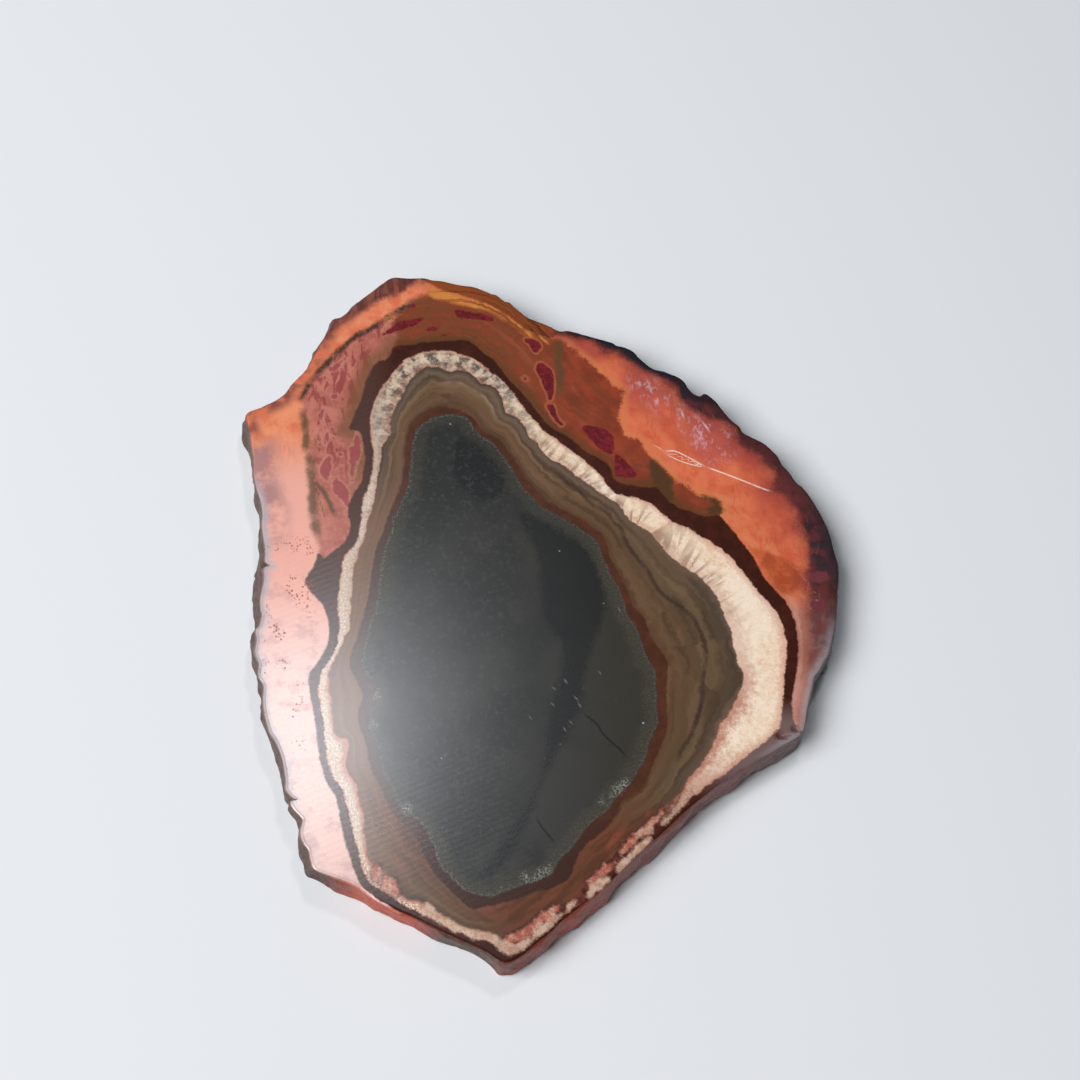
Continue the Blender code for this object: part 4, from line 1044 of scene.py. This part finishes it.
    clusters = fade(cloud(stretch(at, shift=(2, 5, 0)), 0.34, 2), 0.5, 0.62)
    pores = both(specks(at, 3.2, 0.62, (7, 3, 0)), clusters, fade(x, -27.0, -29.5))
    colour = lay(colour, "#a0402c", pores, fade(y, 8.0, 4.0))
    # painted highlight: the rolled rim is made bluish white on the left and the lower right, where it
    # catches the light, on the face and the wall alike
    left = both(fade(x, -20.0, -28.0), fade(y, 16.0, 11.0), fade(y, -34.0, -20.0, 0.5, 1.0))
    right = both(fade(x, 24.0, 29.0), fade(y, 4.0, -3.0))
    rough = work("MULTIPLY_ADD", frayed, 1.4, edge)
    paintedRimSheen = both(fade(rough, -0.5, 0.6), work("MULTIPLY_ADD", right, 0.55, left))
    colour = lay(colour, "#a8a9b0", paintedRimSheen, 0.75)
    return colour, at, wobble, fine


# fine parallel ripples: polishing marks on the face and saw marks on the underside
rippleLook = {"turn": 62.0, "bend": 3.0, "detailScale": 0.4}


def jasperMaterial(name, finish):
    material = bpy.data.materials.new(name)
    material.use_nodes = True
    shader = material.node_tree.nodes["Principled BSDF"]
    tools = NodeTools(material.node_tree)
    colour, at, wobble, fine = paintBands(tools)
    grit = tools.cloud(at, finish["bumpScale"], 4, 0.6)
    if finish["wall"]:
        dark, pale = jasperTones["brokenSkin"]
        skin = tools.readField("skinTone", "Color")
        skin = tools.lay(skin, dark, tools.fade(wobble, 0.0, 0.3, 0, 0.6))
        skin = tools.lay(skin, pale, tools.fade(grit, 0.58, 0.72, 0, 0.5))
        colour = tools.lay(colour, skin, tools.fade(tools.readField("below"), 0.0, 0.35, 0.6, 0.97))
    else:
        ripple = tools.tree.nodes.new("ShaderNodeTexWave")
        tools.plug(tools.stretch(at, turn=rippleLook["turn"]), ripple.inputs["Vector"])
        ripple.inputs["Scale"].default_value = finish["rippleScale"]
        ripple.inputs["Distortion"].default_value = rippleLook["bend"]
        ripple.inputs["Detail Scale"].default_value = rippleLook["detailScale"]
        grit = tools.work("MULTIPLY_ADD", ripple.outputs["Fac"], finish["rippleShare"], grit)
    tools.plug(colour, shader.inputs["Base Color"])
    low, high = finish["roughness"]
    tools.plug(tools.fade(fine, 0.3, 0.7, low, high), shader.inputs["Roughness"])
    shader.inputs["IOR"].default_value = jasperSlice["refraction"]
    bump = tools.tree.nodes.new("ShaderNodeBump")
    bump.inputs["Strength"].default_value = finish["bump"]
    bump.inputs["Distance"].default_value = finish["bumpHeight"] * mm
    tools.plug(grit, bump.inputs["Height"])
    tools.plug(bump.outputs[0], shader.inputs["Normal"])
    return material


finishes = {
    "polishedJasper": {"wall": False, "roughness": (0.2, 0.24), "bump": 0.12, "bumpHeight": 0.02,
                       "bumpScale": 3.0, "rippleScale": 0.45, "rippleShare": 0.35},
    "brokenJasper": {"wall": True, "roughness": (0.35, 0.6), "bump": 0.9, "bumpHeight": 0.3,
                     "bumpScale": 1.8},
    "sawnJasper": {"wall": False, "roughness": (0.55, 0.7), "bump": 0.4, "bumpHeight": 0.04,
                   "bumpScale": 5.0, "rippleScale": 0.3, "rippleShare": 0.8},
}

bm = sawSlab(jasperSlice)
mesh = bpy.data.meshes.new("jasperSlice")
bm.to_mesh(mesh)
bm.free()
markStone(mesh, jasperSlice, bandPattern)
for name, finish in finishes.items():
    mesh.materials.append(jasperMaterial(name, finish))
for face in mesh.polygons:
    height = face.center.z
    onFace = height > jasperSlice["thickness"] - levelGap
    face.material_index = 0 if onFace else 2 if height < levelGap else 1   # the finishes' order
shift = Matrix.Translation([-value for value in jasperSlice["drawnFrom"]] + [0])
mesh.transform(Matrix.Scale(mm, 4) @ shift)
slab = bpy.data.objects.new("jasperSlice", mesh)
bpy.context.scene.collection.objects.link(slab)
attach(slab, "root")
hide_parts("jasper_slice")
print("stone dressed")

# The studio: a pale floor, a broad light from the left, and a low soft one behind whose reflection
# lies on the polish.
studio = {
    "floorSize": 3.0,
    "floorCells": 8,
    "floorTone": "#e2e5e9",
    "floorRoughness": 0.9,
    "airTone": "#f0f0f0",
    "airStrength": 0.09,
    "keyPlace": (-0.75, -0.35, 0.9),
    "keyAim": (0, 0, 0),
    "keySize": (0.7, 0.7),
    "keyPower": 18.0,
    "keyTone": "#ffffff",
    "sheenPlace": (0.0025, 0.134, 0.373),
    "sheenAim": (-0.02, -0.01, 0),
    "sheenSize": (0.04, 0.05),
    "sheenPower": 0.18,
    "sheenTone": "#f4f8ff",
    "lens": 75.0,
    "sensor": 36.0,
    "aim": (-0.000925, 0.008313, 0.005),
    "distance": 0.274,
    "nearest": 0.01,
    "azimuth": -20.0,
    "elevation": 60.0,
}


def softLight(name, studio):
    data = bpy.data.lights.new(name, "AREA")
    data.shape = "RECTANGLE"
    data.size, data.size_y = studio[name + "Size"]
    data.energy = studio[name + "Power"]
    data.color = tint(studio[name + "Tone"])[:3]
    light = bpy.data.objects.new(name, data)
    light.location = studio[name + "Place"]
    towards = Vector(studio[name + "Aim"]) - light.location
    light.rotation_euler = towards.to_track_quat("-Z", "Y").to_euler()
    bpy.context.scene.collection.objects.link(light)


def setStudio(studio):
    scene = bpy.context.scene
    scene.view_settings.view_transform = "Standard"
    scene.world = scene.world or bpy.data.worlds.new("air")
    scene.world.use_nodes = True
    air = scene.world.node_tree.nodes["Background"]
    air.inputs["Color"].default_value = tint(studio["airTone"])
    air.inputs["Strength"].default_value = studio["airStrength"]

    bm = bmesh.new()
    bmesh.ops.create_grid(bm, x_segments=studio["floorCells"], y_segments=studio["floorCells"],
                          size=studio["floorSize"] / 2)
    floorMesh = bpy.data.meshes.new("floor")
    bm.to_mesh(floorMesh)
    bm.free()
    paper = bpy.data.materials.new("palePaper")
    paper.use_nodes = True
    shader = paper.node_tree.nodes["Principled BSDF"]
    shader.inputs["Base Color"].default_value = tint(studio["floorTone"])
    shader.inputs["Roughness"].default_value = studio["floorRoughness"]
    floorMesh.materials.append(paper)
    floor = bpy.data.objects.new("floor", floorMesh)
    scene.collection.objects.link(floor)

    softLight("key", studio)
    softLight("sheen", studio)

    around, up = math.radians(studio["azimuth"]), math.radians(studio["elevation"])
    back = Vector((math.sin(around) * math.cos(up), -math.cos(around) * math.cos(up), math.sin(up)))
    data = bpy.data.cameras.new("camera")
    data.lens = studio["lens"]
    data.sensor_width = studio["sensor"]
    data.clip_start = studio["nearest"]
    camera = bpy.data.objects.new("camera", data)
    over = (Vector((0, 1, 0)) - back * back.y).normalized()
    turn = Matrix((over.cross(back), over, back)).transposed()
    place = Vector(studio["aim"]) + back * studio["distance"]
    camera.matrix_world = Matrix.Translation(place) @ turn.to_4x4()
    scene.collection.objects.link(camera)
    scene.camera = camera


setStudio(studio)
print("studio set")
